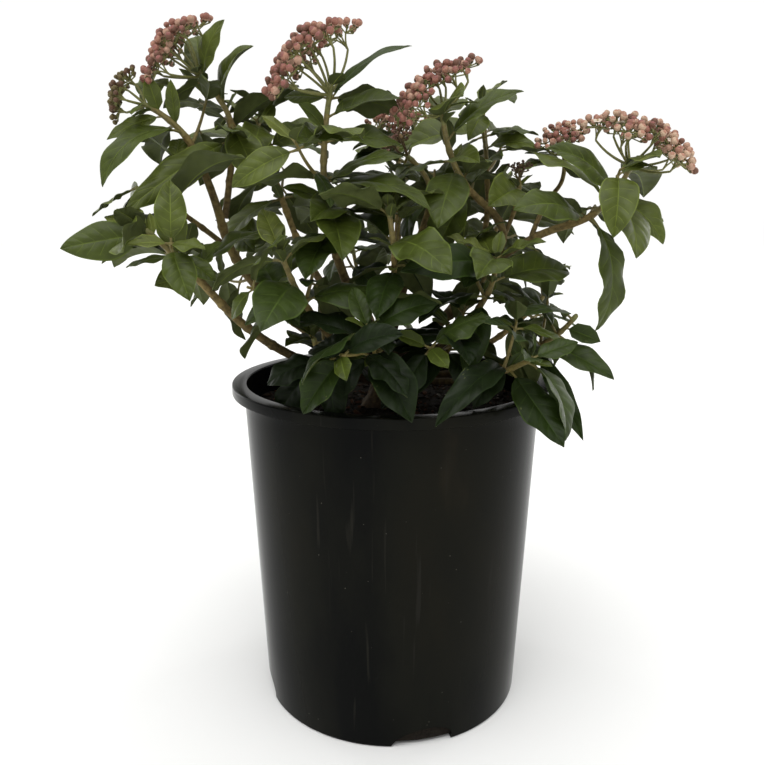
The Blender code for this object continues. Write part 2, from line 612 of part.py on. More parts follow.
def grow_twigs(row, stem, rng, own, others):
    """Side twigs that leave the stem between its lower pairs of leaves."""
    twigs = []
    for n in range(row.twigs):
        share = FIRST_TWIG + TWIG_SPACING * n + rng.uniform(-TWIG_SHIFT, TWIG_SHIFT)
        root, along, _ = along_path(stem, share)
        spread = rng.uniform(-TWIG_TURN_SPREAD, TWIG_TURN_SPREAD)
        angle = math.radians(row.turn + TWIG_TURN + 180 * n + spread)
        across = across_of(along)
        outward = across * math.cos(angle) + along.cross(across) * math.sin(angle)
        length = rng.uniform(*TWIG_LENGTHS)
        for turn in TURNS_TRIED:
            way = Matrix.Rotation(math.radians(turn), 3, along) @ outward
            start = way * TWIG_OUT + along * TWIG_ALONG
            tip = root + (start + UP * TWIG_UP).normalized() * length
            elbow = root + start.normalized() * length * TWIG_ELBOW
            path = bent(root, elbow, tip, TWIG_STEPS)
            radii = tapered(TWIG_RADIUS, TWIG_TIP_RADIUS, len(path))
            spare = [radius + CLEARANCE for radius in radii]
            if touches(shell(tube, path, spare, TWIG_SIDES), others):
                continue
            if touches(shell(tube, path[1:], spare[1:], TWIG_SIDES), own):
                continue
            twigs.append({"path": path, "radii": radii})
            own.append(shell(tube, path, radii, TWIG_SIDES))
            break
    return twigs


def head_blobs(row, stem, rng):
    """Middles and radii of the clusters of buds that make a flower head's dome."""
    width, height, lean_x, lean_y, count = HEADS[row.head]
    tip = stem["path"][-1]
    top = tip + Vector((lean_x, lean_y, height * HEAD_STALK)) * MM
    axis = (top - tip).normalized()
    across = across_of(axis)
    blobs = []
    radius = width * BLOB_SPREAD / math.sqrt(count) * MM
    for k in range(count):
        share = math.sqrt((k + 0.5) / count)
        angle = k * GOLDEN_ANGLE + rng.uniform(-BLOB_TURN_SPREAD, BLOB_TURN_SPREAD)
        out = share * (width / 2 * MM - radius)
        drop = height * HEAD_DOME * MM * share ** 2
        way = across * math.cos(angle) + axis.cross(across) * math.sin(angle)
        middle = top + way * out - axis * (drop + radius * BLOB_SQUASH)
        blobs.append((middle, radius * rng.uniform(*BLOB_SIZES), axis))
    return blobs


def head_ray(stem, blob):
    """The thin stalk that carries one cluster of buds."""
    tip = stem["path"][-1]
    inside = stem["path"][-2].lerp(tip, RAY_START)
    path = bent(inside, tip.lerp(blob[0], RAY_ELBOW), blob[0], 2)
    return {"path": path, "radii": [RAY_RADIUS] * len(path)}


def blob_mesh(bm, middle, radius, axis):
    turn = axis.to_track_quat("Z", "Y").to_matrix().to_4x4()
    place = Matrix.Translation(middle) @ turn @ Matrix.Diagonal((1, 1, BLOB_SQUASH, 1))
    bmesh.ops.create_icosphere(bm, subdivisions=1, radius=radius, matrix=place)
    return bm


def grow_leaves(stem, pairs, turn, length, droop, rng, own, others):
    """Pairs of leaves, each pair a quarter turn on from the last."""
    leaves = []
    for k in range(pairs):
        share = min((k + FIRST_PAIR) / pairs, LAST_PAIR)
        root, along, radius = along_path(stem, share)
        sunk = radius * ROOT_OFFSET
        across = across_of(along)
        size = length * (END_LEAF_SIZE + (1 - END_LEAF_SIZE) * math.sin(math.pi * share))
        for half_turn in (0, 180):
            angle = math.radians(turn + 90 * k + half_turn + rng.uniform(-TURN_SPREAD, TURN_SPREAD))
            lift = LEAF_LIFTS[0] + (LEAF_LIFTS[1] - LEAF_LIFTS[0]) * share
            lift = math.radians(lift + rng.uniform(-LIFT_SPREAD, LIFT_SPREAD))
            roll = math.radians(rng.uniform(-ROLL_SPREAD, ROLL_SPREAD))
            sag = math.radians(droop * rng.uniform(*DROOP_RANGE))
            full = size * rng.uniform(*SIZE_RANGE)
            outward = across * math.cos(angle) + along.cross(across) * math.sin(angle)
            leaf = fitted_leaf(root + outward * sunk, along, outward, lift, roll, sag, full, own, others)
            if leaf:
                leaves.append(leaf)
                own.append(shell(leaf_mesh, leaf))
    return leaves


def fitted_leaf(root, along, outward, lift, roll, sag, full, own, others):
    """A leaf turned, and if need be shortened, until it touches nothing; None where none fits."""
    for part in LENGTHS_TRIED:
        for turn in TURNS_TRIED:
            way = Matrix.Rotation(math.radians(turn), 3, along) @ outward
            ahead, face = leaf_frame(along, way, lift, roll)
            leaf = as_leaf(root, ahead, face, full * part, sag, LEAF_WIDTH_SHARE)
            if not in_opening(leaf) and fits(leaf, own, others):
                return leaf
    return None


def in_opening(leaf):
    """Whether a leaf would cover a place where the crown is open from the front."""
    half = leaf["length"] * leaf["width"] / 2
    for share in OPENING_SHARES:
        point, side, _ = leaf_spine(leaf, share)
        for aside in (-half * (1 - share), 0, half * (1 - share)):
            ray = point + side * aside - EYE
            seen = EYE - ray * (EYE.y / ray.y)
            for x, z, radius in OPENINGS:
                if math.hypot(seen.x - x * MM, seen.z - z * MM) < radius * MM:
                    return True
    return False


def aimed_leaf(root, tip, width, droop, facing):
    """A leaf that grows from root and bends down to end at tip."""
    chord = tip - root
    way = chord.normalized()
    face = UP * (1 - facing) + FRONT * facing
    face = (face - way * face.dot(way)).normalized()
    half_bend = math.radians(droop) / 2
    back = Matrix.Rotation(half_bend, 3, way.cross(face))
    length = chord.length * half_bend / math.sin(half_bend)
    return as_leaf(root, back @ way, back @ face, length, 2 * half_bend, width)


def grow_front_leaves(name, stem, own, others):
    """The single leaves named for this mass, each moved a little, or left out, if it would touch."""
    leaves = []
    for row in FRONT_LEAVES:
        if row.mass != name:
            continue
        root, _, _ = along_path(stem, row.at)
        for nudge in NUDGES_TRIED:
            tip = (Vector(row.tip) + Vector(nudge)) * MM
            leaf = aimed_leaf(root, tip, row.width, row.droop, row.facing)
            if fits(leaf, own, others):
                leaves.append(leaf)
                own.append(shell(leaf_mesh, leaf))
                break
    return leaves


def fits(leaf, own, others):
    """Whether a leaf stays clear of other masses and limbs, and past its root of its own mass."""
    if touches(shell(leaf_mesh, leaf, spare=CLEARANCE), others):
        return False
    return not touches(shell(leaf_mesh, leaf, spare=CLEARANCE, first=ROOT_SHARE), own)


def grow_crown(limbs, in_the_way):
    """Everything that grows from the boughs: stems and heads, front leaves, twigs, then the rest."""
    crown = {}
    for seed, row in enumerate(MASSES):
        stem = grow_stem(row, limbs)
        rng = random.Random(seed)
        blobs = head_blobs(row, stem, rng) if row.head else []
        shells = [shell(tube, stem["path"], stem["radii"], STEM_SIDES)]
        for blob in blobs:
            ray = head_ray(stem, blob)
            shells.append(shell(blob_mesh, *blob))
            shells.append(shell(tube, ray["path"], ray["radii"], RAY_SIDES))
        crown[row.name] = {"row": row, "stem": stem, "blobs": blobs, "rng": rng, "shells": shells}
    for stage in (add_front_leaves, add_twigs, add_leaves):
        for name, mass in crown.items():
            others = list(in_the_way)
            for other in crown:
                if other != name:
                    others += crown[other]["shells"]
            stage(mass, others)
    return crown


def add_front_leaves(mass, others):
    mass["leaves"] = grow_front_leaves(mass["row"].name, mass["stem"], mass["shells"], others)


def add_twigs(mass, others):
    mass["twigs"] = grow_twigs(mass["row"], mass["stem"], mass["rng"], mass["shells"], others)


def add_leaves(mass, others):
    """Leaves on the stem, then smaller ones on the side twigs."""
    row, rng, own = mass["row"], mass["rng"], mass["shells"]
    length = row.length * MM
    mass["leaves"] += grow_leaves(mass["stem"], row.pairs, row.turn, length, row.droop, rng, own, others)
    for n, twig in enumerate(mass["twigs"]):
        turn = row.turn + TWIG_LEAF_TURN + 90 * n
        size = length * TWIG_LEAF_SHARE
        mass["leaves"] += grow_leaves(twig, TWIG_PAIRS, turn, size, row.droop, rng, own, others)


def fused(name, bodies, mat):
    """Joins overlapping closed bodies into one by a Boolean union on their collection."""
    group = bpy.data.collections.new(name + "_pieces")
    bpy.context.scene.collection.children.link(group)
    for body in bodies:
        bmesh.ops.triangulate(body, faces=body.faces)
    whole = finished(name, bodies[0], mat)
    for k, body in enumerate(bodies[1:]):
        piece = finished(f"{name}_piece_{k}", body, mat)
        bpy.context.scene.collection.objects.unlink(piece)
        group.objects.link(piece)
    union = whole.modifiers.new("union", "BOOLEAN")
    union.operation = "UNION"
    union.operand_type = "COLLECTION"
    union.collection = group
    for solver in ("EXACT", "MANIFOLD"):
        union.solver = solver
        bpy.context.view_layer.update()
        joined = bpy.data.meshes.new_from_object(whole.evaluated_get(bpy.context.evaluated_depsgraph_get()))
        if cleaned(joined):
            break
    whole.modifiers.clear()
    whole.data = joined
    for piece in list(group.objects):
        bpy.data.objects.remove(piece)
    bpy.data.collections.remove(group)
    return whole


def cleaned(mesh):
    """Keeps the largest connected body of a mesh, without tiny edges; tells whether it is closed."""
    bm = bmesh.new()
    bm.from_mesh(mesh)
    bmesh.ops.triangulate(bm, faces=bm.faces)
    groups = []
    seen = set()
    for first in bm.verts:
        if first in seen:
            continue
        seen.add(first)
        island = [first]
        for vert in island:
            for edge in vert.link_edges:
                other = edge.other_vert(vert)
                if other not in seen:
                    seen.add(other)
                    island.append(other)
        groups.append(island)
    groups.sort(key=len)
    scrap = [vert for island in groups[:-1] for vert in island]
    bmesh.ops.delete(bm, geom=scrap, context="VERTS")
    merge_short_edges(bm)
    closed = bool(bm.faces) and all(len(edge.link_faces) == 2 for edge in bm.edges)
    bm.to_mesh(mesh)
    bm.free()
    return closed


def merge_short_edges(bm):
    """Draws the ends of each very short edge together wherever the skin stays closed."""
    found = True
    while found:
        found = False
        for edge in sorted(bm.edges, key=lambda item: item.calc_length()):
            if not edge.is_valid:
                continue
            if edge.calc_length() > SHORT_EDGE:
                break
            if mergeable(edge):
                bmesh.ops.collapse(bm, edges=[edge])
                found = True
                break


def mergeable(edge):
    """Whether an edge can be drawn together with no fold, pinch or lost opening."""
    first, last = edge.verts
    near_first = {other.other_vert(first) for other in first.link_edges}
    near_last = {other.other_vert(last) for other in last.link_edges}
    if len(edge.link_faces) != 2 or len(near_first & near_last) != 2:
        return False
    middle = (first.co + last.co) / 2
    for vert in (first, last):
        for face in vert.link_faces:
            if edge in face.edges:
                continue
            before = face.normal
            corners = [middle if corner is vert else corner.co for corner in face.verts]
            after = (corners[1] - corners[0]).cross(corners[2] - corners[0])
            if after.length < SLIVER_AREA or after.normalized().dot(before) < LEAST_COSINE:
                return False
    return True


def pot_outside(bm):
    """The pot's outside with the mix's top, as one simple closed shape."""
    inner = POT_TOP_RADIUS - POT_WALL
    top = MIX_TOP + MIX_WAVE
    skirt = POT_HEIGHT - RIM_DROP
    profile = [(0, 0), (POT_BASE_RADIUS, 0), (RIM_RADIUS, skirt), (RIM_RADIUS, POT_HEIGHT)]
    profile += [(inner, POT_HEIGHT), (inner, top), (0, top)]
    return turned(bm, profile, POT_SEGMENTS)


def make_mass(name, mass, mat):
    stem = mass["stem"]
    bodies = [tube(bmesh.new(), stem["path"], stem["radii"], STEM_SIDES)]
    for twig in mass["twigs"]:
        bodies.append(tube(bmesh.new(), twig["path"], twig["radii"], TWIG_SIDES))
    for leaf in mass["leaves"]:
        bodies.append(leaf_mesh(bmesh.new(), leaf))
    for blob in mass["blobs"]:
        ray = head_ray(stem, blob)
        bodies.append(blob_mesh(bmesh.new(), *blob))
        bodies.append(tube(bmesh.new(), ray["path"], ray["radii"], RAY_SIDES))
    fused(name, bodies, mat)


def main():
    clear_scene()
    black = material("black_plastic", (0.012, 0.012, 0.011), 0.32)
    soil = material("potting_mix", (0.045, 0.028, 0.018), 0.95)
    bark = material("bark", (0.13, 0.085, 0.05), 0.8)
    leaf_green = material("leaf_green", (0.055, 0.12, 0.025), 0.45)

    make_pot(black)
    make_mix(soil)

    limbs = {"trunk": grow_trunk()}
    make_trunk(limbs["trunk"], bark)
    grow_boughs(limbs)
    for row in BOUGHS:
        limb = limbs[row.name]
        bm = tube(bmesh.new(), limb["path"], limb["radii"], BOUGH_SIDES)
        finished(row.name, bm, bark, SMOOTH_BARK)

    in_the_way = [limb_shell(limb) for limb in limbs.values()]
    in_the_way.append(shell(pot_outside))
    for name, mass in grow_crown(limbs, in_the_way).items():
        make_mass(name, mass, leaf_green)


main()
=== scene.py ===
"""The looks of the potted viburnum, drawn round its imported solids.

Boughs, stems, side twigs and leaves are worked out by the same rule and from the same sizes as the
solids that they replace. They are then drawn finely and carried on to young shoot tips, the forks
of the flower heads and single buds. X runs to the right, Y away from the viewer and Z up.
"""

import functools
import json
import math
import random
from collections import namedtuple

import bmesh
import bpy
import numpy as np
from mathutils import Matrix, Vector, noise
from mathutils.bvhtree import BVHTree

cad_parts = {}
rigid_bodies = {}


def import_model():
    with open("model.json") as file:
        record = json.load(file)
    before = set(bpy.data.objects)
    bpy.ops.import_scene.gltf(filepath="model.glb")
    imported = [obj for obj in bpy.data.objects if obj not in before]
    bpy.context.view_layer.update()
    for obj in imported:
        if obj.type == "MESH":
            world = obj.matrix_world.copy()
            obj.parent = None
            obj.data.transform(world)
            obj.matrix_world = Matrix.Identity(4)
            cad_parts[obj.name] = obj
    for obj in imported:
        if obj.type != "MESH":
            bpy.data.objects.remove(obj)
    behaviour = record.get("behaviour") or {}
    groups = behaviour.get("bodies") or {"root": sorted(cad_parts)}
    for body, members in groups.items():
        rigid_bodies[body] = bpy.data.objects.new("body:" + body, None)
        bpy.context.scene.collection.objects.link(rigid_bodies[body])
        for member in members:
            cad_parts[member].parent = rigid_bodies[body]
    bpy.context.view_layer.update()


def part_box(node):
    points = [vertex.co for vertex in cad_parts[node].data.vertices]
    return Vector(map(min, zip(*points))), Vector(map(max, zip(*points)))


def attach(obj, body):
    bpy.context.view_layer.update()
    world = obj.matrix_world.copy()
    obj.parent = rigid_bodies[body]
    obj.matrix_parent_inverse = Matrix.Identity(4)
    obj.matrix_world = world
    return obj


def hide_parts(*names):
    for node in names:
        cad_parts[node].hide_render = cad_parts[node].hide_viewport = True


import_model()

MM = 0.001
GAP = 0.3 * MM
UP = Vector((0, 0, 1))
RIGHT = Vector((1, 0, 0))
FRONT = Vector((0, -1, 0))
GOLDEN_ANGLE = math.pi * (3 - math.sqrt(5))

# The pot's outside comes from the frame, the rest of it from the source
RIM_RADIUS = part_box("pot")[1].x
POT_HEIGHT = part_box("pot")[1].z
POT_BASE_RADIUS = 83 * MM
POT_TOP_RADIUS = 92.9 * MM
POT_WALL = 1.8 * MM
POT_FLOOR = 2.2 * MM
POT_SEGMENTS = 176
POT_TEST_SEGMENTS = 48
RIM_DROP = 6.4 * MM
RIM_WALL = 1.6 * MM
LIP_ROUND = 0.78 * MM
FOOT_ROUND = 1.2 * MM
ROUND_STEPS = 5
NOTCH_COUNT = 4
NOTCH_WIDTH = 37 * MM
NOTCH_HEIGHT = 11 * MM
NOTCH_DEPTH = 7 * MM
NOTCH_SKEW = 0.22
NOTCH_ARC_POINTS = 25
NOTCH_LIP = 0.1 * MM
FIRST_NOTCH = math.radians(-77)
WALL_HEIGHTS = (40, 80, 120, 160, 190)
INNER_HEIGHTS = (195, 180, 100)
RIM_FILLET = 1.2 * MM
RIM_CORNER = ((0.35, 0.3), (1.3, 0))
SKIRT_CORNER = 0.6 * MM

# The potting mix and the chips that lie on it
MIX_TOP = 188 * MM
MIX_WAVE = 1.6 * MM
MIX_RISE = 1.9 * MM
MIX_RINGS = 44
MIX_SEGMENTS = 144
MIX_LUMPS = ((45, 1.0), (170, 0.55), (520, 0.3))
CHIP_SEED = 11
CHIP_COUNT = 2600
CHIP_SIZES = (0.7 * MM, 3.4 * MM)
CHIP_SIDES = 5
CHIP_CLEAR_OF_TRUNK = 9 * MM
CHIP_TILT = 0.7
CHIP_SUNK = 0.12
CHIP_SMALLNESS = 2.4
MIX_CROWDING = 0.9
CHIP_STRETCHES = (0.9, 2.1)
CHIP_THICKNESSES = (0.25, 0.7)
CHIP_REACHES = (0.35, 0.6)

# The short stem
TRUNK_FOOT = Vector((-5, 1, 188.3)) * MM
TRUNK_FORK = Vector((-1, 2, 226)) * MM
TRUNK_FORK_RADIUS = 7.5 * MM
TRUNK_TAPER = 0.25
TRUNK_FLARE = 7 * MM
TRUNK_FLARE_HEIGHT = 0.35
TRUNK_LOBES = 5
TRUNK_LOBE_DEPTH = 0.12
TRUNK_RINGS = 8
TRUNK_SIDES = 12

# Boughs and the stems that go on from them
BOUGH_SIDES = 5
BOUGH_STEPS = 5
STEM_SIDES = 3
STEM_STEPS = 5
STEM_TIP_RADIUS = 1.4 * MM
LEAD = 1.5 * MM
ELBOW_SHARE = 0.45
LEAST_SINE = 0.3
LONGEST_CUT = 40 * MM
CUTS_TRIED = 14

# Side twigs: places along the stem, lengths, and how far they run out, along the stem and up
TWIG_SIDES = 3
TWIG_STEPS = 3
TWIG_RADIUS = 1.15 * MM
TWIG_TIP_RADIUS = 0.75 * MM
FIRST_TWIG = 0.22
TWIG_SPACING = 0.3
TWIG_SHIFT = 0.05
TWIG_TURN = 45
TWIG_TURN_SPREAD = 20
TWIG_LENGTHS = (24 * MM, 36 * MM)
TWIG_OUT = 0.8
TWIG_ALONG = 0.35
TWIG_UP = 0.25
TWIG_ELBOW = 0.5
TWIG_PAIRS = 2
TWIG_LEAF_TURN = 40
TWIG_LEAF_SHARE = 0.8

# Leaves: the coarse blade that is tested for room, and how the leaves stand
LEAF_WIDTH_SHARE = 0.46
LEAF_KEEL = 0.6 * MM
LEAF_ROOT_WIDTH = 1.7 * MM
LEAF_FOLD = 0.08
LEAF_STATIONS = ((0.0, 0.0), (0.32, 0.94), (0.7, 0.84))
LEAF_LIFTS = (-6, 36)
LEAF_FACE_UP = 0.55
ROOT_SHARE = 0.2
ROOT_OFFSET = 0.2
FIRST_PAIR = 0.75
LAST_PAIR = 0.97
END_LEAF_SIZE = 0.82
FRONT_LEAF_AGE = 0.5
TURN_SPREAD = 10
LIFT_SPREAD = 12
ROLL_SPREAD = 35
DROOP_RANGE = (0.7, 1.2)
SIZE_RANGE = (0.88, 1.08)
CLEARANCE = 0.45 * MM
TURNS_TRIED = (0, 14, -14, 28, -28, 42, -42)
LENGTHS_TRIED = (1.0, 0.78, 0.6)
NUDGES_TRIED = ((0, 0, 0), (0, -8, 0), (0, 0, 8), (8, 0, 0), (-8, 0, 0), (0, -14, 6), (0, 0, -10))

# Flower heads: a dome of blobs, each a cluster of buds on its own ray
HEAD_STALK = 0.8
HEAD_DOME = 0.4
BLOB_SPREAD = 0.42
BLOB_SIZES = (0.88, 1.08)
BLOB_TURN_SPREAD = 0.2
BLOB_SQUASH = 0.56
RAY_SIDES = 3
RAY_RADIUS = 0.8 * MM
RAY_START = 0.8
RAY_ELBOW = 0.4

Bough = namedtuple("Bough", "name parent at elbow tip base_radius tip_radius")
Mass = namedtuple("Mass", "name tip pairs turn length droop twigs head")
Limb = namedtuple("Limb", "path radii sides finish", defaults=("young_bark",))
Leaf = namedtuple("Leaf", "root ahead face length droop width age young")
Shell = namedtuple("Shell", "tree middle reach")
Bud = namedtuple("Bud", "base way size finish", defaults=("",))

# Each bough: what carries it, how far along, its elbow and tip, and its radius at each end, in mm.
# One with no elbow goes straight on from the end of the limb that carries it.
BOUGHS = [Bough(*row) for row in (
    ("left_low", "trunk", 0.40, (-72, -16, 213), (-107, -50, 272), 3.2, 2.2),
    ("left_high", "trunk", 0.64, (-98, -2, 250), (-102, -21, 312), 3.3, 2.5),
    ("left_end", "left_high", 1.0, None, (-111, -28, 341), 2.5, 2.1),
    ("left_top", "left_high", 0.9, (-95, -14, 326), (-93, -12, 347), 2.0, 1.9),
    ("left_side", "left_high", 0.78, (-108, -30, 300), (-116, -42, 308), 1.7, 1.4),
    ("centre_left", "trunk", 0.93, (-26, -22, 256), (-33, -38, 292), 3.1, 2.6),
    ("back_left", "trunk", 0.80, (-52, 22, 258), (-70, 30, 314), 2.9, 1.9),
    ("right", "trunk", 0.80, (44, -8, 246), (63, -15, 286), 3.6, 2.6),
    ("right_inner", "right", 1.0, None, (50, -23, 316), 2.4, 2.1),
    ("right_outer", "right", 0.88, (80, -18, 296), (104, -21, 302), 2.4, 2.2),
    ("right_side", "right_outer", 0.4, (90, -2, 312), (100, 5, 322), 1.6, 1.3),
    ("right_spent", "right", 0.94, (70, -8, 300), (73, -11, 312), 1.5, 1.2),
    ("right_back", "right", 0.66, (62, 14, 296), (59, 17, 328), 2.0, 1.5),
    ("centre", "trunk", 1.0, None, (22, -8, 310), 2.8, 2.0),
    ("front_left", "trunk", 0.62, (-34, -38, 230), (-46, -60, 258), 2.7, 1.8),
    ("front", "trunk", 0.84, (0, -32, 246), (1, -52, 276), 2.5, 1.6),
    ("front_low", "trunk", 0.42, (-4, -42, 212), (-8, -68, 232), 2.4, 1.7),
    ("inner_left", "trunk", 0.52, (-26, -22, 212), (-36, -38, 222), 2.3, 1.6),
    ("inner_right", "trunk", 0.58, (24, -24, 216), (30, -40, 228), 2.3, 1.6),
    ("front_right", "trunk", 0.66, (38, -28, 228), (52, -36, 258), 2.6, 1.7),
    ("rim_right", "trunk", 0.46, (44, -36, 208), (60, -60, 222), 2.4, 1.6),
    ("right_low", "trunk", 0.44, (56, -6, 208), (86, -18, 228), 2.6, 1.7),
    ("back_right", "trunk", 0.74, (46, 42, 238), (68, 66, 288), 2.9, 1.9),
    ("back", "trunk", 0.90, (4, 36, 258), (4, 54, 318), 2.9, 1.9),
    ("back_low", "trunk", 0.48, (-8, 54, 214), (-20, 88, 246), 2.6, 1.8),
    ("back_left_low", "trunk", 0.60, (-60, 40, 220), (-94, 56, 258), 2.8, 1.8),
    ("back_right_low", "trunk", 0.40, (56, 36, 208), (90, 54, 236), 2.6, 1.8),
)]

# Each mass of foliage, named after its bough: the tip of its stem in mm, its pairs of leaves, the turn
# of the first in degrees, its leaves' length in mm and droop in degrees, its side twigs and its head
MASSES = [Mass(*row) for row in (
    ("left_low", (-131, -64, 300), 3, 70, 56, 40, 2, None),
    ("left_end", (-136, -38, 367), 3, 20, 52, 70, 1, "young"),
    ("left_top", (-110, -20, 385), 3, 75, 48, 30, 1, "pink_left"),
    ("left_side", (-138, -54, 322), 2, 20, 58, 80, 1, None),
    ("centre_left", (-33, -45, 374), 5, 10, 56, 50, 2, "pink_centre"),
    ("back_left", (-80, 36, 370), 4, 30, 56, 55, 2, None),
    ("right_inner", (27, -35, 365), 3, 60, 54, 65, 1, "pink_inner"),
    ("right_outer", (137, -22, 337), 3, 30, 60, 70, 2, "pink_right"),
    ("right_side", (104, 8, 344), 1, 60, 46, 50, 0, "pink_side"),
    ("right_spent", (74, -12, 328), 1, 10, 48, 50, 0, "spent"),
    ("right_back", (55, 22, 374), 4, 20, 54, 55, 2, None),
    ("centre", (8, -5, 342), 2, 40, 48, 60, 1, "tan"),
    ("front_left", (-58, -74, 288), 3, 10, 56, 60, 2, None),
    ("front", (-2, -62, 312), 3, 30, 54, 60, 1, None),
    ("front_low", (-12, -86, 250), 3, 20, 52, 60, 2, None),
    ("inner_left", (-44, -52, 240), 2, 60, 50, 60, 2, None),
    ("inner_right", (32, -56, 248), 2, 20, 52, 60, 2, None),
    ("front_right", (58, -46, 284), 3, 80, 56, 60, 1, None),
    ("rim_right", (74, -80, 234), 2, 30, 54, 75, 1, None),
    ("right_low", (108, -30, 250), 3, 40, 54, 60, 1, None),
    ("back_right", (82, 94, 307), 4, 10, 58, 55, 2, "pink_back"),
    ("back", (4, 66, 355), 4, 50, 56, 50, 2, "pink_far"),
    ("back_low", (-30, 112, 282), 3, 30, 58, 60, 2, None),
    ("back_left_low", (-120, 72, 302), 4, 60, 58, 60, 2, None),
    ("back_right_low", (120, 78, 268), 3, 20, 58, 60, 2, None),
)]

# Single leaves that show most from the front, by their mass: where on its stem they grow, their tip in
# mm, their width as a share of their length, their droop in degrees, and how far they face the front
FRONT_LEAVES = {
    "left_low": (
        (0.95, (-172, -78, 290), 0.46, 30, 0.8), (0.50, (-120, -66, 324), 0.40, 24, 0.9),
        (0.15, (-125, -74, 271), 0.60, 40, 0.6), (0.20, (-91, -62, 294), 0.45, 40, 0.5),
    ),
    "left_top": (
        (0.20, (-144, -62, 309), 0.22, 50, 0.95), (0.60, (-77, -22, 399), 0.46, 80, 0.35),
        (0.92, (-92, -26, 412), 0.40, 60, 0.45), (0.40, (-74, -34, 323), 0.42, 50, 0.6),
    ),
    "left_end": (
        (0.45, (-153, -62, 322), 0.32, 100, 0.3), (0.80, (-133, -40, 381), 0.50, 20, 0.7),
        (0.55, (-122, -34, 380), 0.30, 40, 0.5), (0.75, (-155, -46, 348), 0.32, 40, 0.6),
    ),
    "centre_left": (
        (0.22, (-45, -78, 275), 0.50, 40, 0.3), (0.46, (20, -72, 310), 0.34, 80, 0.3),
        (0.50, (6, -64, 337), 0.38, 60, 0.3), (0.74, (6, -42, 344), 0.42, 50, 0.4),
        (0.92, (10, -40, 396), 0.20, 62, 0.3), (0.95, (-59, -38, 380), 0.44, 30, 0.6),
        (0.80, (-49, -58, 364), 0.56, 40, 0.5), (0.86, (5, -45, 368), 0.38, 40, 0.4),
        (0.72, (-65, -50, 353), 0.40, 40, 0.5), (0.42, (-59, -54, 322), 0.38, 40, 0.5),
    ),
    "right_inner": ((0.50, (24, -62, 301), 0.48, 50, 0.4), (0.75, (72, -32, 374), 0.28, 60, 0.35)),
    "right_back": ((0.50, (86, 0, 346), 0.36, 70, 0.5),),
    "right_spent": ((0.70, (54, -38, 312), 0.62, 40, 0.7),),
    "right_outer": (
        (0.62, (84, -42, 342), 0.38, 80, 0.5), (0.60, (151, -44, 292), 0.48, 90, 0.5),
        (0.36, (121, -26, 240), 0.28, 90, 0.06),
    ),
    "front_right": ((0.90, (4, -88, 280), 0.32, 40, 0.6), (0.15, (40, -66, 221), 0.30, 40, 0.4)),
    "front": ((0.15, (-8, -90, 256), 0.44, 50, 0.3),),
    "rim_right": ((0.25, (23, -112, 204), 0.22, 100, 0.5), (0.40, (87, -104, 192), 0.38, 14, 0.5)),
    "right_low": (
        (0.30, (126, -52, 216), 0.34, 40, 0.5), (0.12, (109, -66, 185), 0.19, 14, 0.8),
        (0.75, (122, -34, 235), 0.55, 20, 0.7),
    ),
    "front_left": ((0.30, (-75, -88, 252), 0.40, 50, 0.4),),
}

# Where the crown is open, or shows nothing but flowers, from the front: the middles and radii, in mm,
# of round openings in the upright plane through the pot's axis, as seen from EYE
EYE = Vector((0, -488, 314)) * MM
OPENING_SHARES = (0.35, 0.6, 0.85)
OPENINGS = (
    (-190, 260, 17), (-170, 260, 17), (-155, 270, 6), (-138, 239, 15), (-122, 232, 18), (-100, 268, 6),
    (-91, 264, 6), (-82, 223, 6), (-161, 328, 5), (-152, 338, 11), (-149, 312, 5), (-121, 362, 9),
    (-111, 361, 6), (-115, 308, 8), (-113, 295, 8), (-81, 319, 4), (-84, 383, 8), (-94, 283, 4),
    (-62, 367, 7), (-60, 339, 8), (-58, 298, 4), (-28, 345, 5), (-11, 385, 8), (0, 382, 4),
    (14, 343, 4), (15, 354, 6), (21, 332, 4), (27, 343, 7), (42, 352, 4), (45, 380, 6), (53, 390, 8),
    (50, 305, 4), (57, 352, 4), (62, 250, 6), (68, 226, 6), (72, 364, 7), (85, 364, 8), (80, 299, 5),
    (94, 288, 4), (93, 328, 8), (105, 210, 6), (107, 233, 5), (115, 286, 11), (117, 265, 11),
    (117, 249, 8), (121, 318, 8), (133, 325, 4), (137, 190, 10), (142, 288, 5), (153, 279, 10),
    (166, 323, 8), (-160, 376, 10), (-137, 395, 7), (-124, 404, 7), (-113, 412, 5), (-54, 397, 9),
    (-32, 406, 8), (6, 374, 6), (21, 382, 8), (38, 388, 7), (73, 340, 5), (107, 354, 8),
    (129, 351, 8), (147, 349, 8), (166, 346, 8), (-150, 253, 8), (-122, 247, 7), (-104, 241, 6),
    (-112, 279, 4), (-99, 271, 4), (-93, 263, 3), (-85, 222, 4), (97, 322, 5), (133, 337, 4),
    (67, 361, 5), (79, 358, 4), (91, 351, 4), (15, 355, 5), (42, 363, 4), (49, 345, 3), (82, 278, 4),
    (85, 294, 3), (100, 282, 4), (137, 237, 4), (-113, 353, 4), (106, 179, 4), (126, 197, 4),
)

